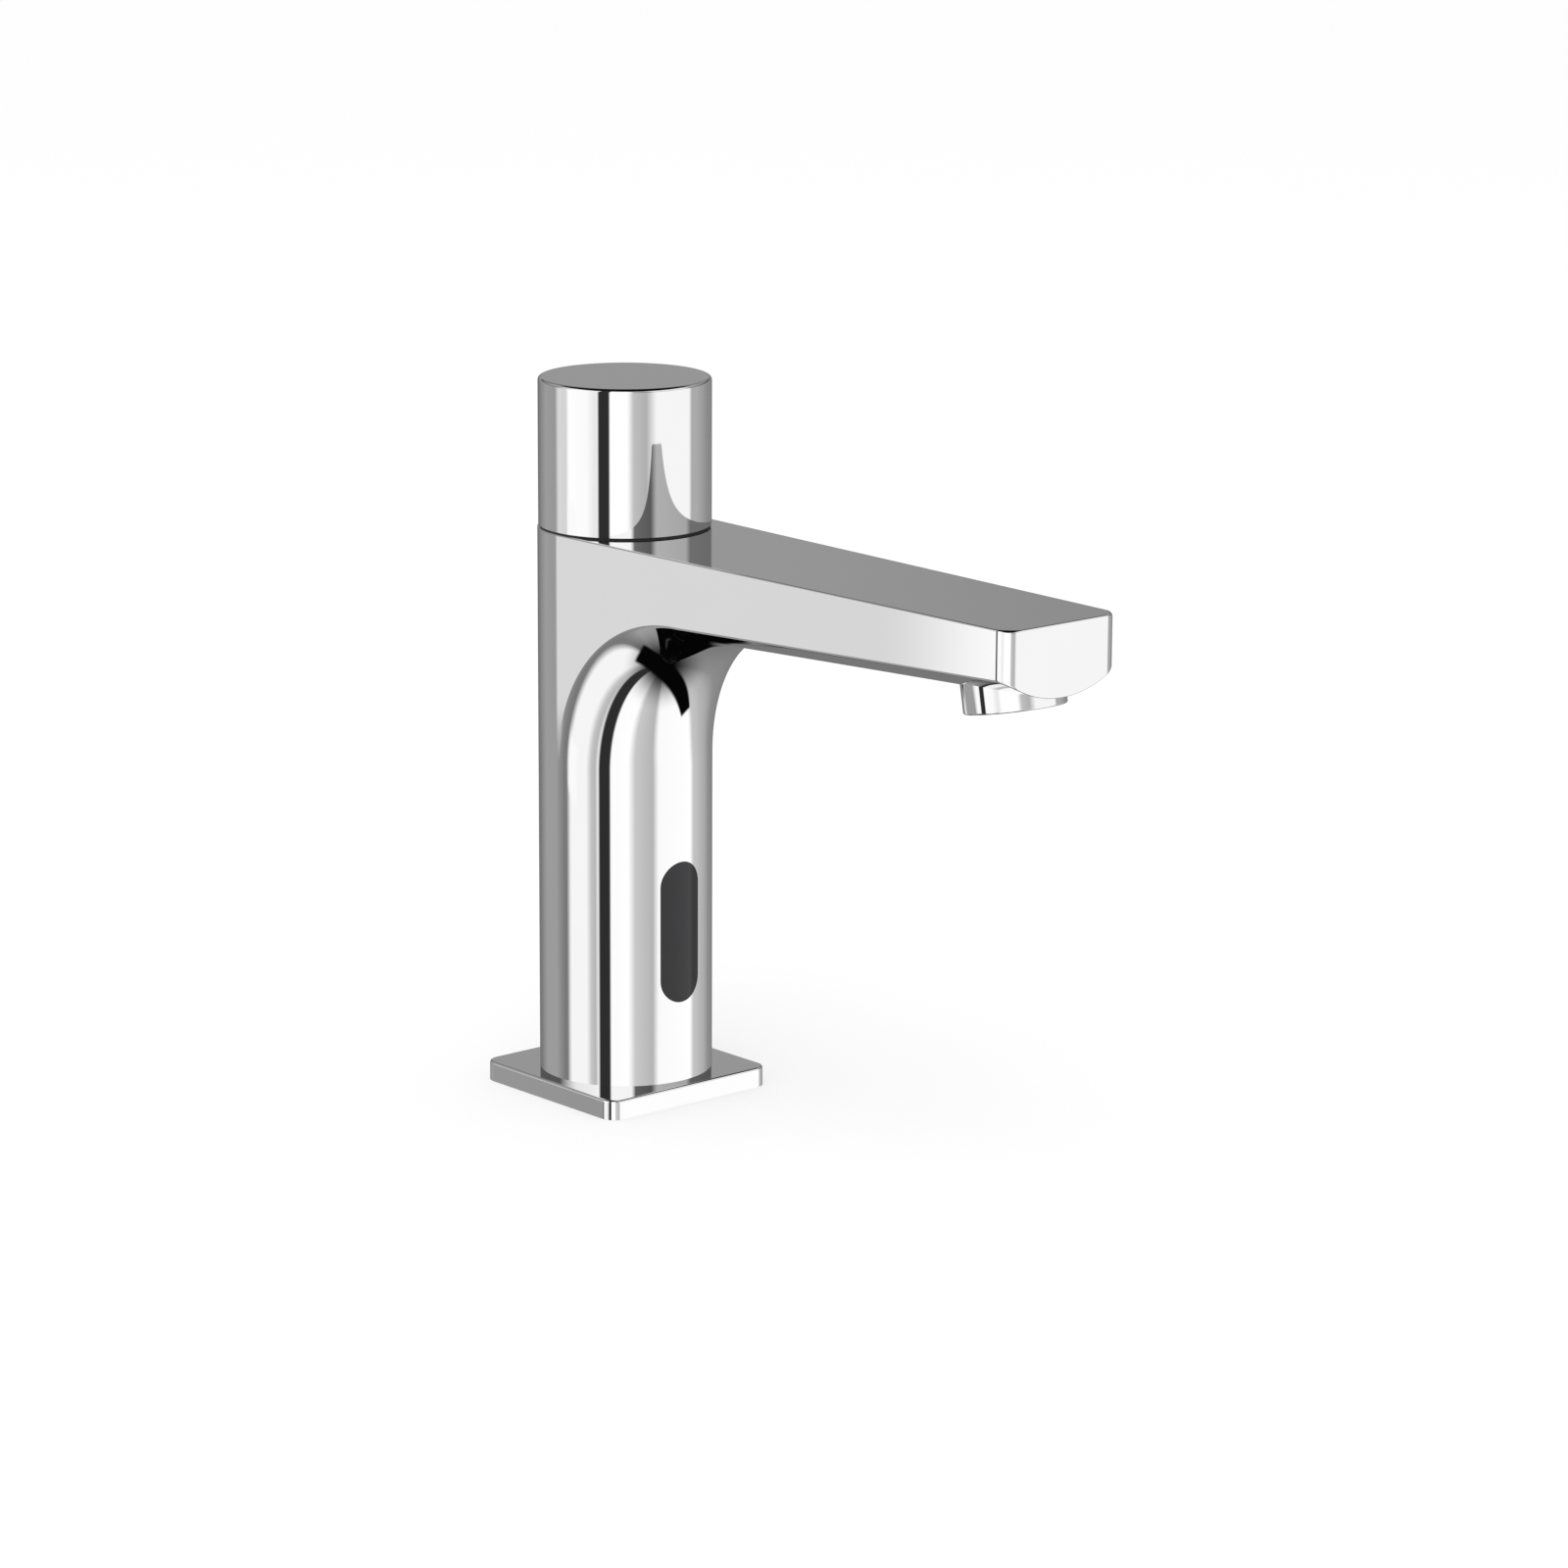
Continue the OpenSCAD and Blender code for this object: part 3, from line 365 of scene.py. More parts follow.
def underside_z(x, y, span=(-0.2, 1.2), halvings=40):
    """Height of the straight underside at a place of the plan, by halving a span of t."""
    x, y = -np.abs(np.asarray(x, float)), np.asarray(y, float)
    low, high = (np.full(x.shape, t) for t in span)
    for _ in range(halvings):
        t = (low + high) / 2
        point = spout_point(t, share_at(spout_lines(t), x))
        ahead = point[..., 1] < y
        high, low = np.where(ahead, t, high), np.where(ahead, low, t)
    return point[..., 2]


def surface_normals(surface, u, v, step=1e-5):
    """Normals of a surface given by a function, facing down, from its slopes at each place."""
    along = surface(u + step, v) - surface(u - step, v)
    across = surface(u, v + step) - surface(u, v - step)
    n = np.cross(across, along)
    return n / np.linalg.norm(n, axis=-1, keepdims=True)


def underside_normals(x, y, step=1e-3):
    """Normals of the straight underside, facing down."""
    dx = (underside_z(x + step, y) - underside_z(x - step, y)) / (2 * step)
    dy = (underside_z(x, y + step) - underside_z(x, y - step)) / (2 * step)
    n = np.stack([dx, dy, -np.ones_like(dx)], -1)
    return n / np.linalg.norm(n, axis=-1, keepdims=True)


def ring_between(inner, outer, rows):
    """Points from an inner outline to an outer one in equal steps."""
    share = np.linspace(0, 1, rows + 1)[:, None, None]
    return inner[None] * (1 - share) + outer[None] * share


def ray_angles(points, centre):
    """Angles of outline points from a centre, without a jump."""
    rel = np.asarray(points, float) - centre
    return np.unwrap(np.arctan2(rel[:, 1], rel[:, 0]))


def on_outline(outline, centre, directions):
    """Where rays from a centre at given angles leave an outline of points."""
    rel = np.asarray(outline, float) - centre
    angles = ray_angles(outline, centre)
    order = np.argsort(angles)
    found = []
    for a in directions:
        k = int(np.clip(np.searchsorted(angles[order], a), 1, len(angles) - 1))
        p, q = rel[order[k - 1]], rel[order[k]]
        ray = np.array([math.cos(a), math.sin(a)])
        base = p[0] * (q[1] - p[1]) - p[1] * (q[0] - p[0])
        found.append(ray * base / (ray[0] * (q[1] - p[1]) - ray[1] * (q[0] - p[0])) + centre)
    return np.array(found)


def slot_outline(half_w, tall):
    """Left half of an upright slot with round ends, from its top to its foot, with normals."""
    lift = tall / 2 - half_w
    upper = arc((0, lift), half_w, 90, 180, SLOT_STEPS)
    lower = arc((0, -lift), half_w, 180, 270, SLOT_STEPS)
    side = line((-half_w, lift), (-half_w, -lift), SLOT_SIDE_STEPS)
    return np.array(upper + side[1:-1] + lower)


def wrap(flat, radius, way):
    """Lays (x, z) points on an upright cylinder, in front for way -1 and behind for 1."""
    x, z = flat[..., 0], flat[..., 1]
    y = way * np.sqrt(np.maximum(radius * radius - x * x, 0))
    return np.stack([x, y, z], -1)


def holed_wall(shell, radius, heights, hole, centre_z, way, facing):
    """Half of a cylinder wall, left and right, in front or behind, with a hole in its middle.

    Gives the outline of the hole's left half, unrolled."""
    quarter = math.pi / 2
    turns = np.linspace(0, quarter, QUARTER_STEPS + 1)
    top = [(-a * radius, heights[-1]) for a in turns]
    side = [(-quarter * radius, z) for z in heights[::-1][1:-1]]
    foot = [(-a * radius, heights[0]) for a in turns[::-1]]
    outer = np.array(top + side + foot)
    centre = np.array([0.0, centre_z])
    hole_xz = hole[:, :2] + centre
    unrolled = np.stack([np.arcsin(hole_xz[:, 0] / radius) * radius, hole_xz[:, 1]], 1)
    inner = on_outline(unrolled, centre, ray_angles(outer, centre))
    inner[0], inner[-1] = unrolled[0], unrolled[-1]
    grid = ring_between(inner, outer, HOLE_ROWS)
    a = grid[..., 0] / radius
    radial = np.stack([np.sin(a), way * np.cos(a), np.zeros_like(a)], -1)
    points = radial * radius
    points[..., 2] = grid[..., 1]
    shell.halves(points, radial * facing)
    return inner


def hole_wall(shell, outer_r, inner_r, outline_out, outline_in, centre_z, way):
    """Wall of a hole through a cylinder's wall, between its two unrolled outlines."""
    rows = []
    for radius, flat in ((outer_r, outline_out), (inner_r, outline_in)):
        x = np.sin(flat[:, 0] / radius) * radius
        rows.append(wrap(np.stack([x, flat[:, 1]], 1), radius, way))
    inward = -(rows[0] - [0, 0, centre_z]) * [1, 0, 1]
    inward /= np.linalg.norm(inward, axis=1, keepdims=True)
    shell.halves(np.stack(rows), np.stack([inward, inward]))


def spout_outline(inset=0.0):
    """Left half of the nose plan, moved in by an inset: corner, then front."""
    c = CORNER_R
    cx = half_width(REACH - c) - c / math.cos(SLOPE)
    cy = c - REACH
    start = 180 + math.degrees(SLOPE)
    corner = arc((-cx, cy), c - inset, start, 270, CORNER_STEPS)
    front = [(x, inset - REACH, 0.0, -1.0) for x in np.linspace(-cx, 0, FACE_STEPS + 1)]
    return np.array(corner), np.array(front)


def body_mesh():
    """Column, bend and spout as one casting, with its bore, window slot and sockets."""
    shell = Shell()
    rear = np.array(arc((0, 0), COLUMN_R, 90, 180, QUARTER_STEPS))
    column(shell, rear)
    walls = underside(shell)
    for wall in walls:
        edged_wall(shell, *wall)
    for piece in [rear] + [wall[0] for wall in walls]:
        body_top(shell, piece)
    shell.lathe(path((NECK_R, TOP_Z), (NECK_R, NECK_TOP), (NUT_R, NECK_TOP), (NUT_R, NUT_Z),
                     (CARTRIDGE_R, NUT_Z), (CARTRIDGE_R, SEAT_Z), (0, SEAT_Z)))
    return shell.build("body_casting")


def column(shell, rear):
    """Column from the plate to the bend in front and to the top behind, round its bore."""
    wall_z = np.linspace(PLATE_T, BEND_Z, WALL_STEPS + 1)
    bore_z = np.linspace(PLATE_T, WEB_Z, WALL_STEPS + 1)
    half_pipe(shell, rear, COLUMN_R, np.append(wall_z, TOP_Z - TOP_EDGE_R), 1)
    slot = slot_outline(WINDOW_HALF + FIT, WINDOW_TALL + 2 * FIT)
    out = holed_wall(shell, COLUMN_R, wall_z, slot, WINDOW_Z, -1, 1)
    into = holed_wall(shell, BORE_R, bore_z, slot, WINDOW_Z, -1, -1)
    hole_wall(shell, COLUMN_R, BORE_R, out, into, WINDOW_Z, -1)
    half_pipe(shell, rear, BORE_R, bore_z, -1)
    shell.lathe([line((BORE_R, PLATE_T), (COLUMN_R, PLATE_T)), line((0, WEB_Z), (BORE_R, WEB_Z))])


def half_pipe(shell, plan, radius, heights, facing):
    """Upright round wall at a radius, in the directions of a plan, and its mirror image."""
    around = plan[:, 2:]
    points = np.array([[(radius * c, radius * s, z) for c, s in around] for z in heights])
    normals = np.array([[(facing * c, facing * s, 0) for c, s in around] for _ in heights])
    shell.halves(points, normals)


def underside(shell):
    """Underside of the bend and the spout; gives the walls above it for edged_wall."""
    bend_angles = np.linspace(0, math.pi / 2, BEND_STEPS + 1)
    hole_t = (REACH - HOLE_START - BEND_SIDE) / (FAR_Y - BEND_SIDE)
    walls = []
    for surface, lines, steps, inset in (
            (bend_point, bend_lines, bend_angles, LOW_EDGE * np.sin(bend_angles) ** 2),
            (spout_point, spout_lines, np.linspace(0, hole_t, SPOUT_STEPS + 1), LOW_EDGE)):
        side_y, side_z = lines(steps)[0]
        edge_share = share_at(lines(steps), inset - half_width(side_y))
        v = np.outer(edge_share, np.linspace(1, 0, QUARTER_STEPS + 1))
        u = np.broadcast_to(steps[:, None], v.shape)
        points, normals = surface(u, v), surface_normals(surface, u, v)
        shell.halves(points, normals)
        walls.append((side_plan(side_y), side_z, points[:, 0], normals[:, 0]))
    last_y = np.linspace(side_y[-1], -spout_outline()[0][0, 1], NOSE_STEPS + 1)
    return walls + nose_underside(shell, last_y, points[-1, ::-1, :2])


def side_plan(y):
    """Plan of the left side at given reaches."""
    along = np.ones(len(y))
    return np.column_stack([-half_width(y), -y, -math.cos(SLOPE) * along, -math.sin(SLOPE) * along])


def edged_wall(shell, piece, crease, inner, inner_n):
    """Upright wall over a stretch of the plan, with the round from it to the underside."""
    x, y, nx, ny = piece.T
    level = np.column_stack([nx, ny, np.zeros(len(x))])
    corner = np.column_stack([x, y, crease])
    # The round closes where the bend leaves the column
    lift = np.minimum(np.linalg.norm(inner - corner, axis=1), LOW_EDGE)
    start = corner + np.outer(lift, [0, 0, 1])
    rows, normals = [], []
    for share in np.linspace(0, 1, EDGE_STEPS + 1):
        rest = 1 - share
        rows.append(rest * rest * start + 2 * share * rest * corner + share * share * inner)
        blended = rest * level + share * inner_n
        normals.append(blended / np.linalg.norm(blended, axis=1, keepdims=True))
    shell.halves(np.stack(rows), np.stack(normals))
    shell.halves(np.stack([start, np.column_stack([x, y, TOP_Z - top_radius(piece)])]), level)


def nose_underside(shell, side_y, across):
    """Underside round the outlet socket; gives the walls of the side, the corner and the front."""
    corner, front = spout_outline(LOW_EDGE)
    side = side_plan(side_y)
    side[:, 0] += LOW_EDGE
    side[0, :2], side[-1] = across[-1], corner[0]
    outer = np.concatenate([across, side[1:-1, :2], corner[:, :2], front[1:, :2]])
    centre = np.array([0.0, -OUTLET_Y])
    angles = ray_angles(outer, centre)
    inner = on_outline(socket_outline(), centre, angles)
    grid = ring_between(inner, outer, NOSE_ROWS)
    x, y = grid[..., 0], grid[..., 1]
    points = np.stack([x, y, underside_z(x, y)], -1)
    shell.halves(points, underside_normals(x, y))
    socket_wall(shell, points[0])
    walls = []
    for edge, inset in zip((side_plan(side_y), *spout_outline()), (side, corner, front)):
        x, y = inset[:, 0], inset[:, 1]
        walls.append((edge, underside_z(edge[:, 0], edge[:, 1]),
                      np.column_stack([x, y, underside_z(x, y)]), underside_normals(x, y)))
    return walls


def socket_outline(slides=12):
    """Plan of the line where the outlet socket meets the underside, found by sliding along its wall."""
    radius = RING_R + 2 * FIT
    turn = np.linspace(0, 2 * math.pi, SOCKET_STEPS, endpoint=False)
    across = np.array([0.0, OUTLET_AXIS[2], -OUTLET_AXIS[1]])
    rim = OUTLET_PLACE + radius * (np.outer(np.cos(turn), [1, 0, 0]) + np.outer(np.sin(turn), across))
    for _ in range(slides):
        gap = underside_z(rim[:, 0], rim[:, 1]) - rim[:, 2]
        rim = rim + np.outer(gap / OUTLET_AXIS[2], OUTLET_AXIS)
    return np.concatenate([rim[:, :2], rim[:1, :2]])


def socket_wall(shell, rim):
    """Wall and ceiling of the outlet socket, up from its rim."""
    along = (rim - OUTLET_PLACE) @ OUTLET_AXIS
    top = rim + np.outer(SOCKET_TOP - along, OUTLET_AXIS)
    centre = OUTLET_PLACE + OUTLET_AXIS * SOCKET_TOP
    radial = centre - top
    radial /= np.linalg.norm(radial, axis=1, keepdims=True)
    shell.halves(np.stack([rim, top]), np.stack([radial, radial]))
    shell.halves(np.stack([top, np.tile(centre, (len(top), 1))]), -OUTLET_AXIS)


def top_radius(piece):
    """Radius of the top edge at each point: the edge grows fuller round the nose corners."""
    facing = 2 * np.abs(piece[:, 2] * piece[:, 3])
    return TOP_EDGE_R + CORNER_FULLNESS * np.where(piece[:, 1] < -REACH / 2, facing, 0) ** 2


def edge_round(piece, radius, top):
    """Rows and normals of the round between the upright wall over a plan and its flat top."""
    x, y, nx, ny = piece.T
    rows, normals = [], []
    for a in np.linspace(0, math.pi / 2, EDGE_STEPS + 1):
        c, s = math.cos(a), math.sin(a)
        inset = radius * (c - 1)
        height = top - radius * (1 - s) + 0 * x
        rows.append(np.column_stack([x + nx * inset, y + ny * inset, height]))
        normals.append(np.column_stack([nx * c, ny * c, s + 0 * x]))
    return np.stack(rows), np.stack(normals)


def rim_to(radius, edge):
    """Flat face between a circle about the column's axis and an edge."""
    a = np.arctan2(edge[:, 1], edge[:, 0])
    return np.stack([np.column_stack([radius * np.cos(a), radius * np.sin(a), edge[:, 2]]), edge])


def body_top(shell, piece):
    """Round of the body's top edge along a stretch of the plan, and the flat from there to the neck."""
    rows, normals = edge_round(piece, top_radius(piece), TOP_Z)
    shell.halves(rows, normals)
    shell.halves(rim_to(NECK_R, rows[-1]), [0, 0, 1])


def plate_mesh():
    """Square plate with round corners, and the groove of its gasket below."""
    shell = Shell()
    c = PLATE_HALF - PLATE_CORNER_R
    side = [(PLATE_HALF, y, 1.0, 0.0) for y in np.linspace(-c, c, FACE_STEPS + 1)]
    corner = arc((c, c), PLATE_CORNER_R, 0, 90, ROUND_STEPS)
    for quarter in range(4):
        turn = quarter * math.pi / 2
        spin = np.array([[math.cos(turn), math.sin(turn)], [-math.sin(turn), math.cos(turn)]])
        for stretch in (side, corner):
            piece = np.array(stretch)
            plate_stretch(shell, np.hstack([piece[:, :2] @ spin, piece[:, 2:] @ spin]))
    shell.lathe(path((BORE_R, PLATE_T), (BORE_R, 0), (GROOVE_IN_R, 0), (GROOVE_IN_R, GROOVE_T),
                     (GROOVE_OUT_R, GROOVE_T), (GROOVE_OUT_R, 0)))
    return shell.build("square_plate")


def plate_stretch(shell, piece):
    """Wall, round edge, top and underside along a stretch of the plate's outline."""
    x, y, nx, ny = piece.T
    foot = np.column_stack([x, y, 0 * x])
    rows, normals = edge_round(piece, PLATE_EDGE_R, PLATE_T)
    shell.quads(np.stack([foot, rows[0]]), normals[0])
    shell.quads(rows, normals)
    shell.quads(rim_to(BORE_R, rows[-1]), [0, 0, 1])
    shell.quads(rim_to(GROOVE_OUT_R, foot), [0, 0, -1])


def window_mesh():
    """Dark lens that fills the slot of the column, slightly inside its face."""
    shell = Shell()
    full = slot_outline(WINDOW_HALF, WINDOW_TALL)
    xz, n = full[:, :2], full[:, 2:]
    front_xz = xz - n * WINDOW_EDGE
    lift = np.array([0.0, WINDOW_Z])
    for radius, flat, facing in ((WINDOW_R, front_xz, 1), (WINDOW_BACK_R, xz, -1)):
        grid = ring_between(np.zeros_like(flat), flat, LENS_ROWS) + lift
        points = wrap(grid, radius, -1)
        radial = points * [1, 1, 0] / radius
        shell.halves(points, radial * facing)
    rows, normals = [], []
    out = np.column_stack([n[:, 0], np.zeros(len(n)), n[:, 1]])
    for a in np.linspace(0, math.pi / 2, LENS_EDGE_STEPS + 1):
        c, s = math.cos(a), math.sin(a)
        row = wrap(front_xz + n * WINDOW_EDGE * s + lift, WINDOW_R - WINDOW_EDGE * (1 - c), -1)
        radial = row * [1, 1, 0] / WINDOW_R
        rows.append(row)
        normals.append(radial * c + out * s)
    rows.append(wrap(xz + lift, WINDOW_BACK_R, -1))
    normals.append(out)
    shell.halves(np.stack(rows), np.stack(normals))
    return shell.build("window_lens")


def knob_mesh():
    """Round cap with a soft top edge, and the grub screw's hole at its back."""
    shell = Shell()
    low, high = KNOB_LOW[2], KNOB_HIGH[2]
    inner_r, roof = KNOB_R - KNOB_WALL, high - KNOB_TOP_T
    e = KNOB_EDGE_R
    shell.lathe([arc((KNOB_R - e, high - e), e, 0, 90, ROUND_STEPS), line((KNOB_R - e, high), (0, high)),
                 line((inner_r, low), (KNOB_R, low)), line((0, roof), (inner_r, roof))])
    hole = np.array(arc((0, 0), SCREW_R, 90, 270, SCREW_HOLE_STEPS))
    front = np.array(arc((0, 0), 1.0, 180, 270, QUARTER_STEPS))
    outlines = []
    for radius, top_z, facing in ((KNOB_R, high - e, 1), (inner_r, roof, -1)):
        heights = np.linspace(low, top_z, FACE_STEPS + 1)
        outlines.append(holed_wall(shell, radius, heights, hole, SCREW_Z, 1, facing))
        half_pipe(shell, front, radius, heights, facing)
    hole_wall(shell, KNOB_R, inner_r, *outlines, SCREW_Z, 1)
    return shell.build("knob_cap")


def aerator_mesh():
    """Outlet ring with its lip, its bore and the core of its thread, tilted as the outlet is."""
    shell = Shell(OUTLET_TILT, OUTLET_PLACE)
    e = RING_ROUND
    edge = arc((RING_R - e, e), e, -90, 0, EDGE_STEPS)
    shell.lathe([line((LIP_R, 0), (RING_R - e, 0)), edge] + path(
        (RING_R, e), (RING_R, RING_H), (THREAD_R, RING_H), (THREAD_R, THREAD_TOP),
        (AERATOR_BORE_R, THREAD_TOP), (AERATOR_BORE_R, LIP_H), (LIP_R, LIP_H), (LIP_R, 0)))
    return shell.build("aerator_ring")


def spring_mesh():
    """Compression spring with a closed turn at each end, wound along a helix."""
    shell = Shell()
    wire_r = SPRING_WIRE / 2
    middle = (SPRING_LOW + SPRING_HIGH) / 2
    coil_r = SPRING_HIGH[0] - middle[0] - wire_r
    rise = SPRING_HIGH[2] - SPRING_LOW[2] - SPRING_WIRE
    turns = np.linspace(0, SPRING_TURNS, COIL_STEPS * SPRING_TURNS + 1)[:, None]
    # The first and the last turn climb by one wire only
    marks = [0, 1, SPRING_TURNS - 1, SPRING_TURNS]
    lift = np.interp(turns, marks, [0, SPRING_WIRE, rise - SPRING_WIRE, rise])
    a, b = turns * 2 * math.pi, np.linspace(0, 2 * math.pi, WIRE_STEPS + 1)[None, :]
    normals = np.stack([np.cos(b) * np.cos(a), np.cos(b) * np.sin(a), np.sin(b) + 0 * a], -1)
    x, y = coil_r * np.cos(a) + middle[0], coil_r * np.sin(a) + middle[1]
    core = np.stack([x, y, SPRING_LOW[2] + wire_r + lift], -1)
    points = core + wire_r * normals
    shell.quads(points, normals)
    for end, way in ((0, -1), (-1, 1)):
        along = way * np.array([-np.sin(a[end, 0]), np.cos(a[end, 0]), 0.0])
        shell.quads(np.stack([points[end], np.broadcast_to(core[end], points[end].shape)]), along)
    return shell.build("valve_spring")


def value_of(tone):
    """Linear value of a screen tone from 0 to 255, by the sRGB curve."""
    v = tone / 255
    return v / 12.92 if v <= 0.04045 else ((v + 0.055) / 1.055) ** 2.4


def grey(tone):
    """Colour of a studio panel that shows as a screen tone in a chromed face."""
    v = value_of(tone) / CHROME
    return (v, v, v, 1.0)


class Nodes:
    """Short hand for a node tree."""

    def __init__(self, tree):
        self.tree = tree
        tree.nodes.clear()

    def add(self, kind, **settings):
        node = self.tree.nodes.new(kind)
        for name, value in settings.items():
            setattr(node, name, value)
        return node

    def link(self, source, target):
        self.tree.links.new(source, target)

    def math(self, operation, a, b=0.0):
        node = self.add("ShaderNodeMath", operation=operation)
        for socket, value in zip(node.inputs, (a, b)):
            if isinstance(value, (int, float)):
                socket.default_value = value
            else:
                self.link(value, socket)
        return node.outputs[0]

    def ramp(self, factor, stops):
        """Straight colour ramp with (place, colour) stops."""
        node = self.add("ShaderNodeValToRGB")
        node.color_ramp.interpolation = "LINEAR"
        items = node.color_ramp.elements
        while len(items) > 1:
            items.remove(items[-1])
        items[0].position, items[0].color = stops[0]
        for place, colour in stops[1:]:
            items.new(place).color = colour
        self.link(factor, node.inputs[0])
        return node.outputs[0]

    def noise(self, scale, stretch):
        """Noise in the object's own coordinates, with scale in features a metre."""
        place = self.add("ShaderNodeTexCoord").outputs["Object"]
        if stretch:
            mapping = self.add("ShaderNodeMapping")
            mapping.inputs["Scale"].default_value = stretch
            self.link(place, mapping.inputs[0])
            place = mapping.outputs[0]
        node = self.add("ShaderNodeTexNoise")
        node.inputs["Scale"].default_value = scale
        node.inputs["Detail"].default_value = NOISE_DETAIL
        self.link(place, node.inputs["Vector"])
        return node.outputs["Fac"]


# Finish of each slot: colour, roughness and metalness, then features of its pattern a metre, the
# depth of its relief in metres, and how far its colour and its roughness stray
FINISHES = {
    "chrome": ((CHROME, CHROME, CHROME), 0.02, 1.0, 60.0, 0.0, 0.004, 0.008),
    "window": ((0.006, 0.006, 0.008), 0.03, 0.0, 90.0, 0.0, 0.2, 0.012),
    "seam_black": ((0.012, 0.012, 0.012), 0.55, 0.0, 900.0, 2e-5, 0.2, 0.08),
    "dark_rubber": ((0.022, 0.022, 0.023), 0.7, 0.0, 700.0, 4e-5, 0.25, 0.08),
    "brass": ((0.72, 0.52, 0.25), 0.28, 1.0, 300.0, 1e-5, 0.06, 0.06),
    "copper": ((0.78, 0.38, 0.22), 0.26, 1.0, 260.0, 1e-5, 0.08, 0.06),
    "stainless": ((0.60, 0.60, 0.59), 0.3, 1.0, 500.0, 1e-5, 0.05, 0.07),
    "black_plastic": ((0.03, 0.03, 0.033), 0.45, 0.0, 1500.0, 2e-5, 0.15, 0.07),
    "grey_plastic": ((0.30, 0.31, 0.32), 0.42, 0.0, 1500.0, 2e-5, 0.06, 0.07),
    "white_plastic": ((0.74, 0.73, 0.69), 0.4, 0.0, 1200.0, 2e-5, 0.03, 0.06),
    "green_plastic": ((0.09, 0.34, 0.20), 0.4, 0.0, 1200.0, 2e-5, 0.08, 0.06),
    "red_plastic": ((0.52, 0.07, 0.05), 0.4, 0.0, 1200.0, 2e-5, 0.08, 0.06),
    "ceramic": ((0.85, 0.84, 0.81), 0.16, 0.0, 800.0, 0.0, 0.02, 0.04),
    "circuit_green": ((0.02, 0.15, 0.065), 0.3, 0.0, 600.0, 3e-5, 0.3, 0.08),
    "eye_lens": ((0.30, 0.31, 0.42), 0.08, 0.0, 400.0, 0.0, 0.05, 0.03),
    "eye_filter": ((0.03, 0.010, 0.018), 0.08, 0.0, 400.0, 0.0, 0.1, 0.03),
}
NOISE_DETAIL = 3.0

# Turned brass has its pattern in fine rings, and the window is an acrylic
STRETCHES = {"brass": (1.0, 1.0, 40.0)}
REFRACTIONS = {"window": 1.49}

# Part of the noise's range over which colour and roughness change
PATTERN_LOW = 0.3
PATTERN_HIGH = 0.7


def finish(name, colour, rough, metal, scale, depth, spread, rough_spread):
    """Material whose colour and roughness vary gently, with a fine relief."""
    material = bpy.data.materials.new(name)
    material.use_nodes = True
    n = Nodes(material.node_tree)
    shader = n.add("ShaderNodeBsdfPrincipled")
    n.link(shader.outputs[0], n.add("ShaderNodeOutputMaterial").inputs[0])
    shader.inputs["Metallic"].default_value = metal
    if name in REFRACTIONS:
        shader.inputs["IOR"].default_value = REFRACTIONS[name]
    pattern = n.noise(scale, STRETCHES.get(name))
    dark = [c * (1 - spread) for c in colour]
    light = [min(1.0, c * (1 + spread)) for c in colour]
    smooth = [max(0.0, rough - rough_spread)] * 3
    coarse = [rough + rough_spread] * 3
    for socket, low, high in (("Base Color", dark, light), ("Roughness", smooth, coarse)):
        stops = [(PATTERN_LOW, (*low, 1.0)), (PATTERN_HIGH, (*high, 1.0))]
        n.link(n.ramp(pattern, stops), shader.inputs[socket])
    if depth:
        relief = n.add("ShaderNodeBump")
        relief.inputs["Strength"].default_value = 1.0
        relief.inputs["Distance"].default_value = depth
        n.link(pattern, relief.inputs["Height"])
        n.link(relief.outputs[0], shader.inputs["Normal"])
    return material


def dress(materials):
    """Gives every CAD node the finish of its slot."""
    for part in frame["record"]["subparts"]:
        mesh = NODES[part["node"]].data
        mesh.materials.clear()
        mesh.materials.append(materials[part["material_slot"]])


def put(piece, body, material, node):
    """Rides a new piece on its body, with its finish, in place of a CAD node."""
    piece.data.materials.append(material)
    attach(piece, body)
    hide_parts(node)


# Studio as the polished faces meet it, by angle round the horizon from the camera's side, positive
# to its right. Each panel is (from, to, tone at its start, tone at its end) in screen tones, and
# neighbouring panels run softly into each other. The rows' elevations follow below them.
LOW_PANELS = [
    (-180, -150, 115, 120), (-128, -104, 155, 155), (-87, -83, 120, 120), (-76, -52, 245, 245),
    (-45, -39, 195, 180), (-34, 5, 250, 255), (14, 38, 200, 180), (46, 97, 250, 255),
    (104, 112, 195, 190), (120, 130, 180, 170), (144, 180, 140, 120)]
HIGH_PANELS = [
    (-180, -158, 115, 115), (-128, -104, 155, 150), (-97, -83, 215, 210), (-78, -49, 255, 250),
    (-44, -38, 240, 230), (-30, 5, 255, 255), (13, 30, 190, 175), (44, 96, 245, 245),
    (101, 112, 170, 170), (140, 180, 140, 120)]
SKY_PANELS = [
    (-180, -100, 148, 148), (-76, 9, 250, 250), (14, 36, 105, 90), (44, 90, 178, 168),
    (98, 158, 112, 106), (172, 180, 125, 148)]
GAP_PANELS = [
    (-180, -174, 148, 148), (-164, -98, 85, 85), (-70, -40, 235, 245), (-34, 9, 250, 250),
    (14, 36, 95, 80), (44, 90, 178, 168), (98, 158, 95, 80), (172, 180, 135, 142)]
CEILING_TONE = 15
# Tone of the painted shade below the tap: its shadow on the floor, as the polished faces see it
PAINTED_SHADE_TONE = 4

# Elevations, in degrees, between which the next row or tone takes over from the one under it
HIGH_FROM = (-13.1, -12.4)
SKY_FROM = (7.0, 8.8)
GAP_FROM = (13.5, 14.5)
HIGH_AGAIN_FROM = (18.5, 20.0)
CEILING_FROM = (38.0, 48.0)

# Elevations between which the painted shade below the tap, its shadow on the floor as the polished faces
# see it, gives way, for a face that is seen directly and for one that is seen in another face
PAINTED_SHADE_TO = (-82.0, -50.0)
PAINTED_SHADE_AGAIN_TO = (-45.0, -25.0)
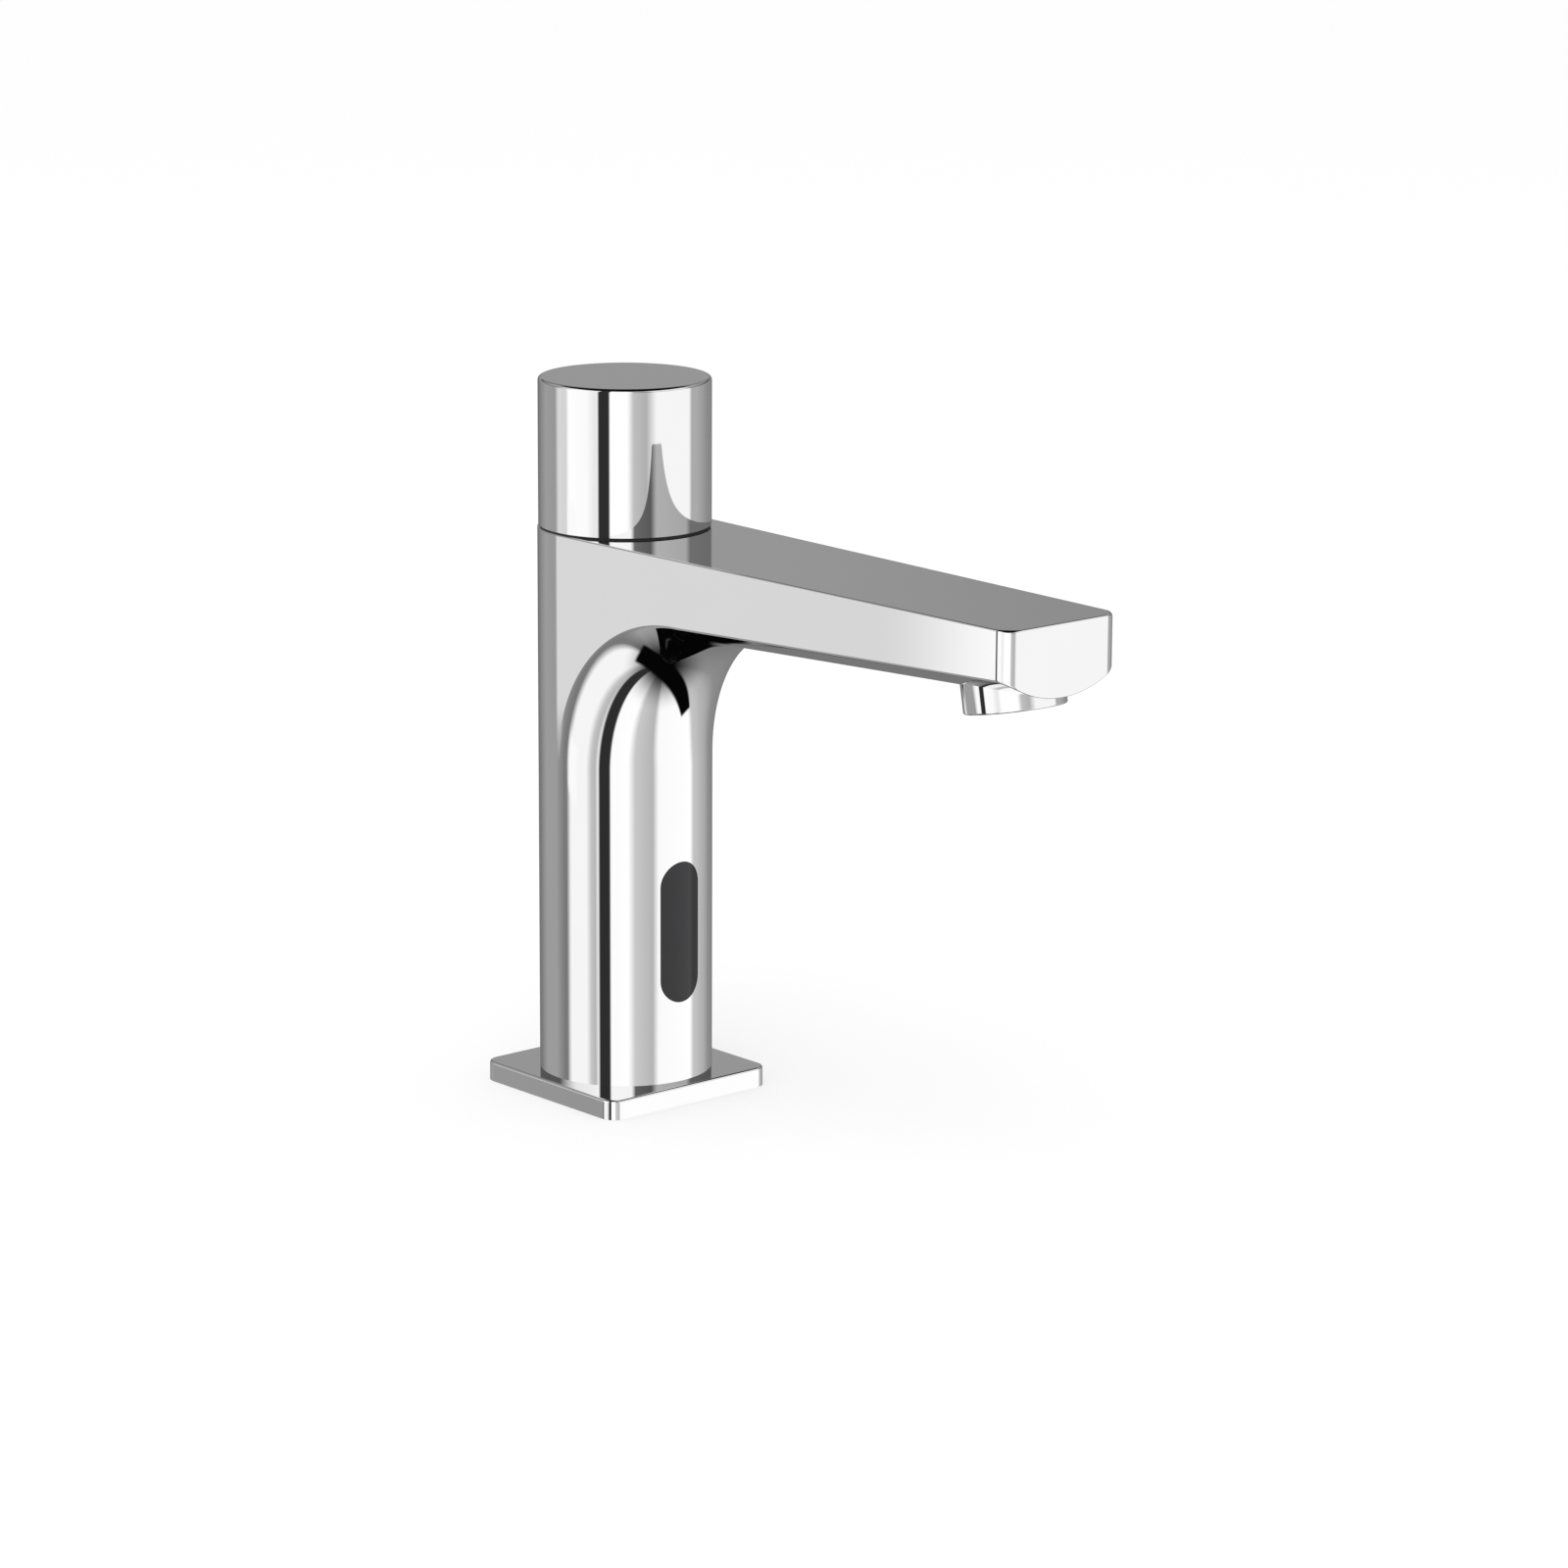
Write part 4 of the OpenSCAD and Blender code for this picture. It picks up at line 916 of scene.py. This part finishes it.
# Glossy depth above which a face is seen in another face
AGAIN_DEPTH = 1.5

WHITE = (1.0, 1.0, 1.0, 1.0)

# Cards near the tap: three corners in millimetres, the first between the other two, then the tone,
# and the share of the half width over which each edge fades, first along and then up
CARDS = {
    "black_flag": ([(-167, -46, -700), (-155, -100, -700), (-167, -46, 700)], 45, (0.35, 0.05)),
    # The dark strip is painted shade: the tap's shadow on the floor round its base, as the polished faces
    # see it, set under the floor
    "painted_shadow_strip": ([(-154, -2, -120), (173, -213, -120), (-108, 69, -120)], 5, (0.1, 0.3)),
    "light_box_end": ([(-379, 242, -20), (-410, 84, -20), (-379, 242, 85)], 250, (0.67, 0.1)),
}

# Floor, a hair under the plate, that shows half as matt and half as plain white
FLOOR_Z = -0.02
FLOOR_RADII = (0.0, 150.0, 6000.0)
FLOOR_COLOUR = (0.96, 0.96, 0.96, 1.0)
FLOOR_PLAIN = 0.5

# Lamp, in metres and watts
LAMP_PLACE = (-0.9, -0.9, 2.0)
LAMP_SIZE = 1.6
LAMP_POWER = 10.0

# Camera, in millimetres and degrees, and its clipping in metres
CAMERA_PLACE = (-903.7, -1094.8, 415.0)
CAMERA_AZIMUTH = 41.195
CAMERA_PITCH = 13.271
CAMERA_ROLL = 0.27
CAMERA_LENS = 129.2
CAMERA_SENSOR = 36.0
CAMERA_CLIP = (0.05, 50.0)


def studio_world():
    """White to the camera and to matt faces, a studio of soft panels to polished ones, and painted shade
    below the tap.
    """
    world = bpy.data.worlds.new("studio")
    bpy.context.scene.world = world
    world.use_nodes = True
    n = Nodes(world.node_tree)
    share, rise = directions(n)
    # Painted shade: dark below the tap, for its shadow on the floor as the polished faces see it
    seen = blend(n, step_up(n, rise, *PAINTED_SHADE_TO), grey(PAINTED_SHADE_TONE), panels(n, share, LOW_PANELS))
    high = panels(n, share, HIGH_PANELS)
    for elevations, above in ((HIGH_FROM, high),
                              (SKY_FROM, panels(n, share, SKY_PANELS)),
                              (GAP_FROM, panels(n, share, GAP_PANELS)),
                              (HIGH_AGAIN_FROM, high),
                              (CEILING_FROM, grey(CEILING_TONE))):
        seen = blend(n, step_up(n, rise, *elevations), seen, above)
    rays = n.add("ShaderNodeLightPath")
    # The painted shade below the tap reaches higher for a face that is seen in another face
    again = n.math("GREATER_THAN", rays.outputs["Glossy Depth"], AGAIN_DEPTH)
    down = n.math("SUBTRACT", 1.0, step_up(n, rise, *PAINTED_SHADE_AGAIN_TO))
    seen = blend(n, n.math("MULTIPLY", again, down), seen, grey(PAINTED_SHADE_TONE))
    polished = n.math("MAXIMUM", rays.outputs["Is Glossy Ray"], rays.outputs["Is Transmission Ray"])
    background = n.add("ShaderNodeBackground")
    n.link(blend(n, polished, WHITE, seen), background.inputs["Color"])
    n.link(background.outputs[0], n.add("ShaderNodeOutputWorld").inputs[0])


def directions(n):
    """Share of the turn round the horizon, 0 behind the tap, and the elevation in degrees."""
    turn = n.add("ShaderNodeVectorRotate", rotation_type="Z_AXIS")
    turn.inputs["Angle"].default_value = math.radians(CAMERA_AZIMUTH)
    n.link(n.add("ShaderNodeTexCoord").outputs["Generated"], turn.inputs["Vector"])
    split = n.add("ShaderNodeSeparateXYZ")
    n.link(turn.outputs[0], split.inputs[0])
    # The turned vector has the camera's right as X and its forward as Y
    back = n.math("MULTIPLY", split.outputs[1], -1.0)
    around = n.math("ARCTAN2", split.outputs[0], back)
    share = n.math("ADD", n.math("MULTIPLY", around, 1 / (2 * math.pi)), 0.5)
    return share, n.math("MULTIPLY", n.math("ARCSINE", split.outputs[2]), 180 / math.pi)


def panels(n, share, row):
    """Tones round the horizon from a row of panels."""
    stops = [((angle + 180) / 360, grey(tone)) for a, b, s, e in row for angle, tone in ((a, s), (b, e))]
    return n.ramp(share, stops)


def step_up(n, value, low, high):
    """0 below low, 1 above high, smooth between."""
    node = n.add("ShaderNodeMapRange", interpolation_type="SMOOTHSTEP")
    node.inputs["From Min"].default_value = low
    node.inputs["From Max"].default_value = high
    n.link(value, node.inputs["Value"])
    return node.outputs[0]


def blend(n, factor, first, second):
    """Mixes two colours, each a socket or a plain colour."""
    node = n.add("ShaderNodeMix", data_type="RGBA")
    n.link(factor, node.inputs[0])
    # The node has sockets for every kind of value: 6 and 7 are its colours, 2 the mixed one
    for socket, value in zip((node.inputs[6], node.inputs[7]), (first, second)):
        if isinstance(value, tuple):
            socket.default_value = value
        else:
            n.link(value, socket)
    return node.outputs[2]


def studio_card(name, corners, tone, fade):
    """Card near the tap, seen only in polished faces, with edges that fade out."""
    start, along, up = (np.array(c, float) for c in corners)
    mesh = bpy.data.meshes.new(name)
    square = np.array([(0, 0), (1, 0), (1, 1), (0, 1)])
    points = start + square[:, :1] * (along - start) + square[:, 1:] * (up - start)
    mesh.from_pydata(points * MM, [], [(0, 1, 2, 3)])
    mesh.uv_layers.new(name="card").data.foreach_set("uv", square.astype(float).ravel())
    mesh.materials.append(card_light(name, tone, fade))
    piece = bpy.data.objects.new(name, mesh)
    bpy.context.scene.collection.objects.link(piece)
    piece.visible_camera = piece.visible_diffuse = piece.visible_shadow = False
    piece.visible_transmission = piece.visible_volume_scatter = False


def card_light(name, tone, fade):
    """Even light of a tone that fades to nothing at the edges of the card."""
    material = bpy.data.materials.new(name)
    material.use_nodes = True
    n = Nodes(material.node_tree)
    split = n.add("ShaderNodeSeparateXYZ")
    n.link(n.add("ShaderNodeTexCoord").outputs["UV"], split.inputs[0])
    solid = []
    for socket, share in zip(split.outputs, fade):
        middle = n.math("ABSOLUTE", n.math("SUBTRACT", n.math("MULTIPLY", socket, 2.0), 1.0))
        solid.append(step_up(n, n.math("SUBTRACT", 1.0, middle), 0.0, share))
    light = n.add("ShaderNodeEmission")
    light.inputs["Color"].default_value = grey(tone)
    mix = n.add("ShaderNodeMixShader")
    n.link(n.math("MULTIPLY", *solid), mix.inputs[0])
    n.link(n.add("ShaderNodeBsdfTransparent").outputs[0], mix.inputs[1])
    n.link(light.outputs[0], mix.inputs[2])
    n.link(mix.outputs[0], n.add("ShaderNodeOutputMaterial").inputs[0])
    return material


def floor():
    """Pale floor, a wide disc that keeps the tap's soft shadow."""
    shell = Shell()
    shell.lathe([[(r, FLOOR_Z, 0.0, 1.0) for r in FLOOR_RADII]], FLOOR_STEPS)
    ground = shell.build("floor")
    material = bpy.data.materials.new("floor")
    material.use_nodes = True
    n = Nodes(material.node_tree)
    matt = n.add("ShaderNodeBsdfDiffuse")
    matt.inputs["Color"].default_value = FLOOR_COLOUR
    white = n.add("ShaderNodeEmission")
    mix = n.add("ShaderNodeMixShader")
    rays = n.add("ShaderNodeLightPath")
    n.link(n.math("MULTIPLY", rays.outputs["Is Camera Ray"], FLOOR_PLAIN), mix.inputs[0])
    n.link(matt.outputs[0], mix.inputs[1])
    n.link(white.outputs[0], mix.inputs[2])
    n.link(mix.outputs[0], n.add("ShaderNodeOutputMaterial").inputs[0])
    ground.data.materials.append(material)
    ground.visible_glossy = False


def lamp():
    """Large soft lamp above and to the camera's left."""
    data = bpy.data.lights.new("soft_lamp", "AREA")
    data.shape = "DISK"
    data.size = LAMP_SIZE
    data.energy = LAMP_POWER
    light = bpy.data.objects.new("soft_lamp", data)
    light.location = LAMP_PLACE
    light.rotation_euler = (-light.location).to_track_quat("-Z", "Y").to_euler()
    light.visible_glossy = False
    bpy.context.scene.collection.objects.link(light)


def camera():
    """The photograph's view."""
    data = bpy.data.cameras.new("camera")
    data.sensor_width = CAMERA_SENSOR
    data.lens = CAMERA_LENS
    data.clip_start, data.clip_end = CAMERA_CLIP
    view = bpy.data.objects.new("camera", data)
    bpy.context.scene.collection.objects.link(view)
    a, e = math.radians(CAMERA_AZIMUTH), math.radians(CAMERA_PITCH)
    forward = Vector((math.sin(a) * math.cos(e), math.cos(a) * math.cos(e), -math.sin(e)))
    view.location = Vector(CAMERA_PLACE) * MM
    roll = Matrix.Rotation(math.radians(CAMERA_ROLL), 3, "Z")
    view.rotation_euler = (forward.to_track_quat("-Z", "Y").to_matrix() @ roll).to_euler()
    bpy.context.scene.camera = view


# One material for each slot of the record
materials = {slot: finish(slot, *values) for slot, values in FINISHES.items()}
dress(materials)
put(body_mesh(), "tap", materials["chrome"], "body")
plate = plate_mesh()
put(plate, "tap", materials["chrome"], "base_plate")
# The photographed column doesn't mirror the plate at its foot
plate.visible_glossy = False
put(window_mesh(), "tap", materials["window"], "sensor_window")
put(knob_mesh(), "knob", materials["chrome"], "knob_shell")
put(aerator_mesh(), "tap", materials["chrome"], "aerator_housing")
spring = spring_mesh()
put(spring, "tap", materials["stainless"], "plunger_spring")
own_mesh(spring)
studio_world()
for name, values in CARDS.items():
    studio_card(name, *values)
floor()
lamp()
camera()
bpy.context.scene.view_settings.view_transform = "Standard"
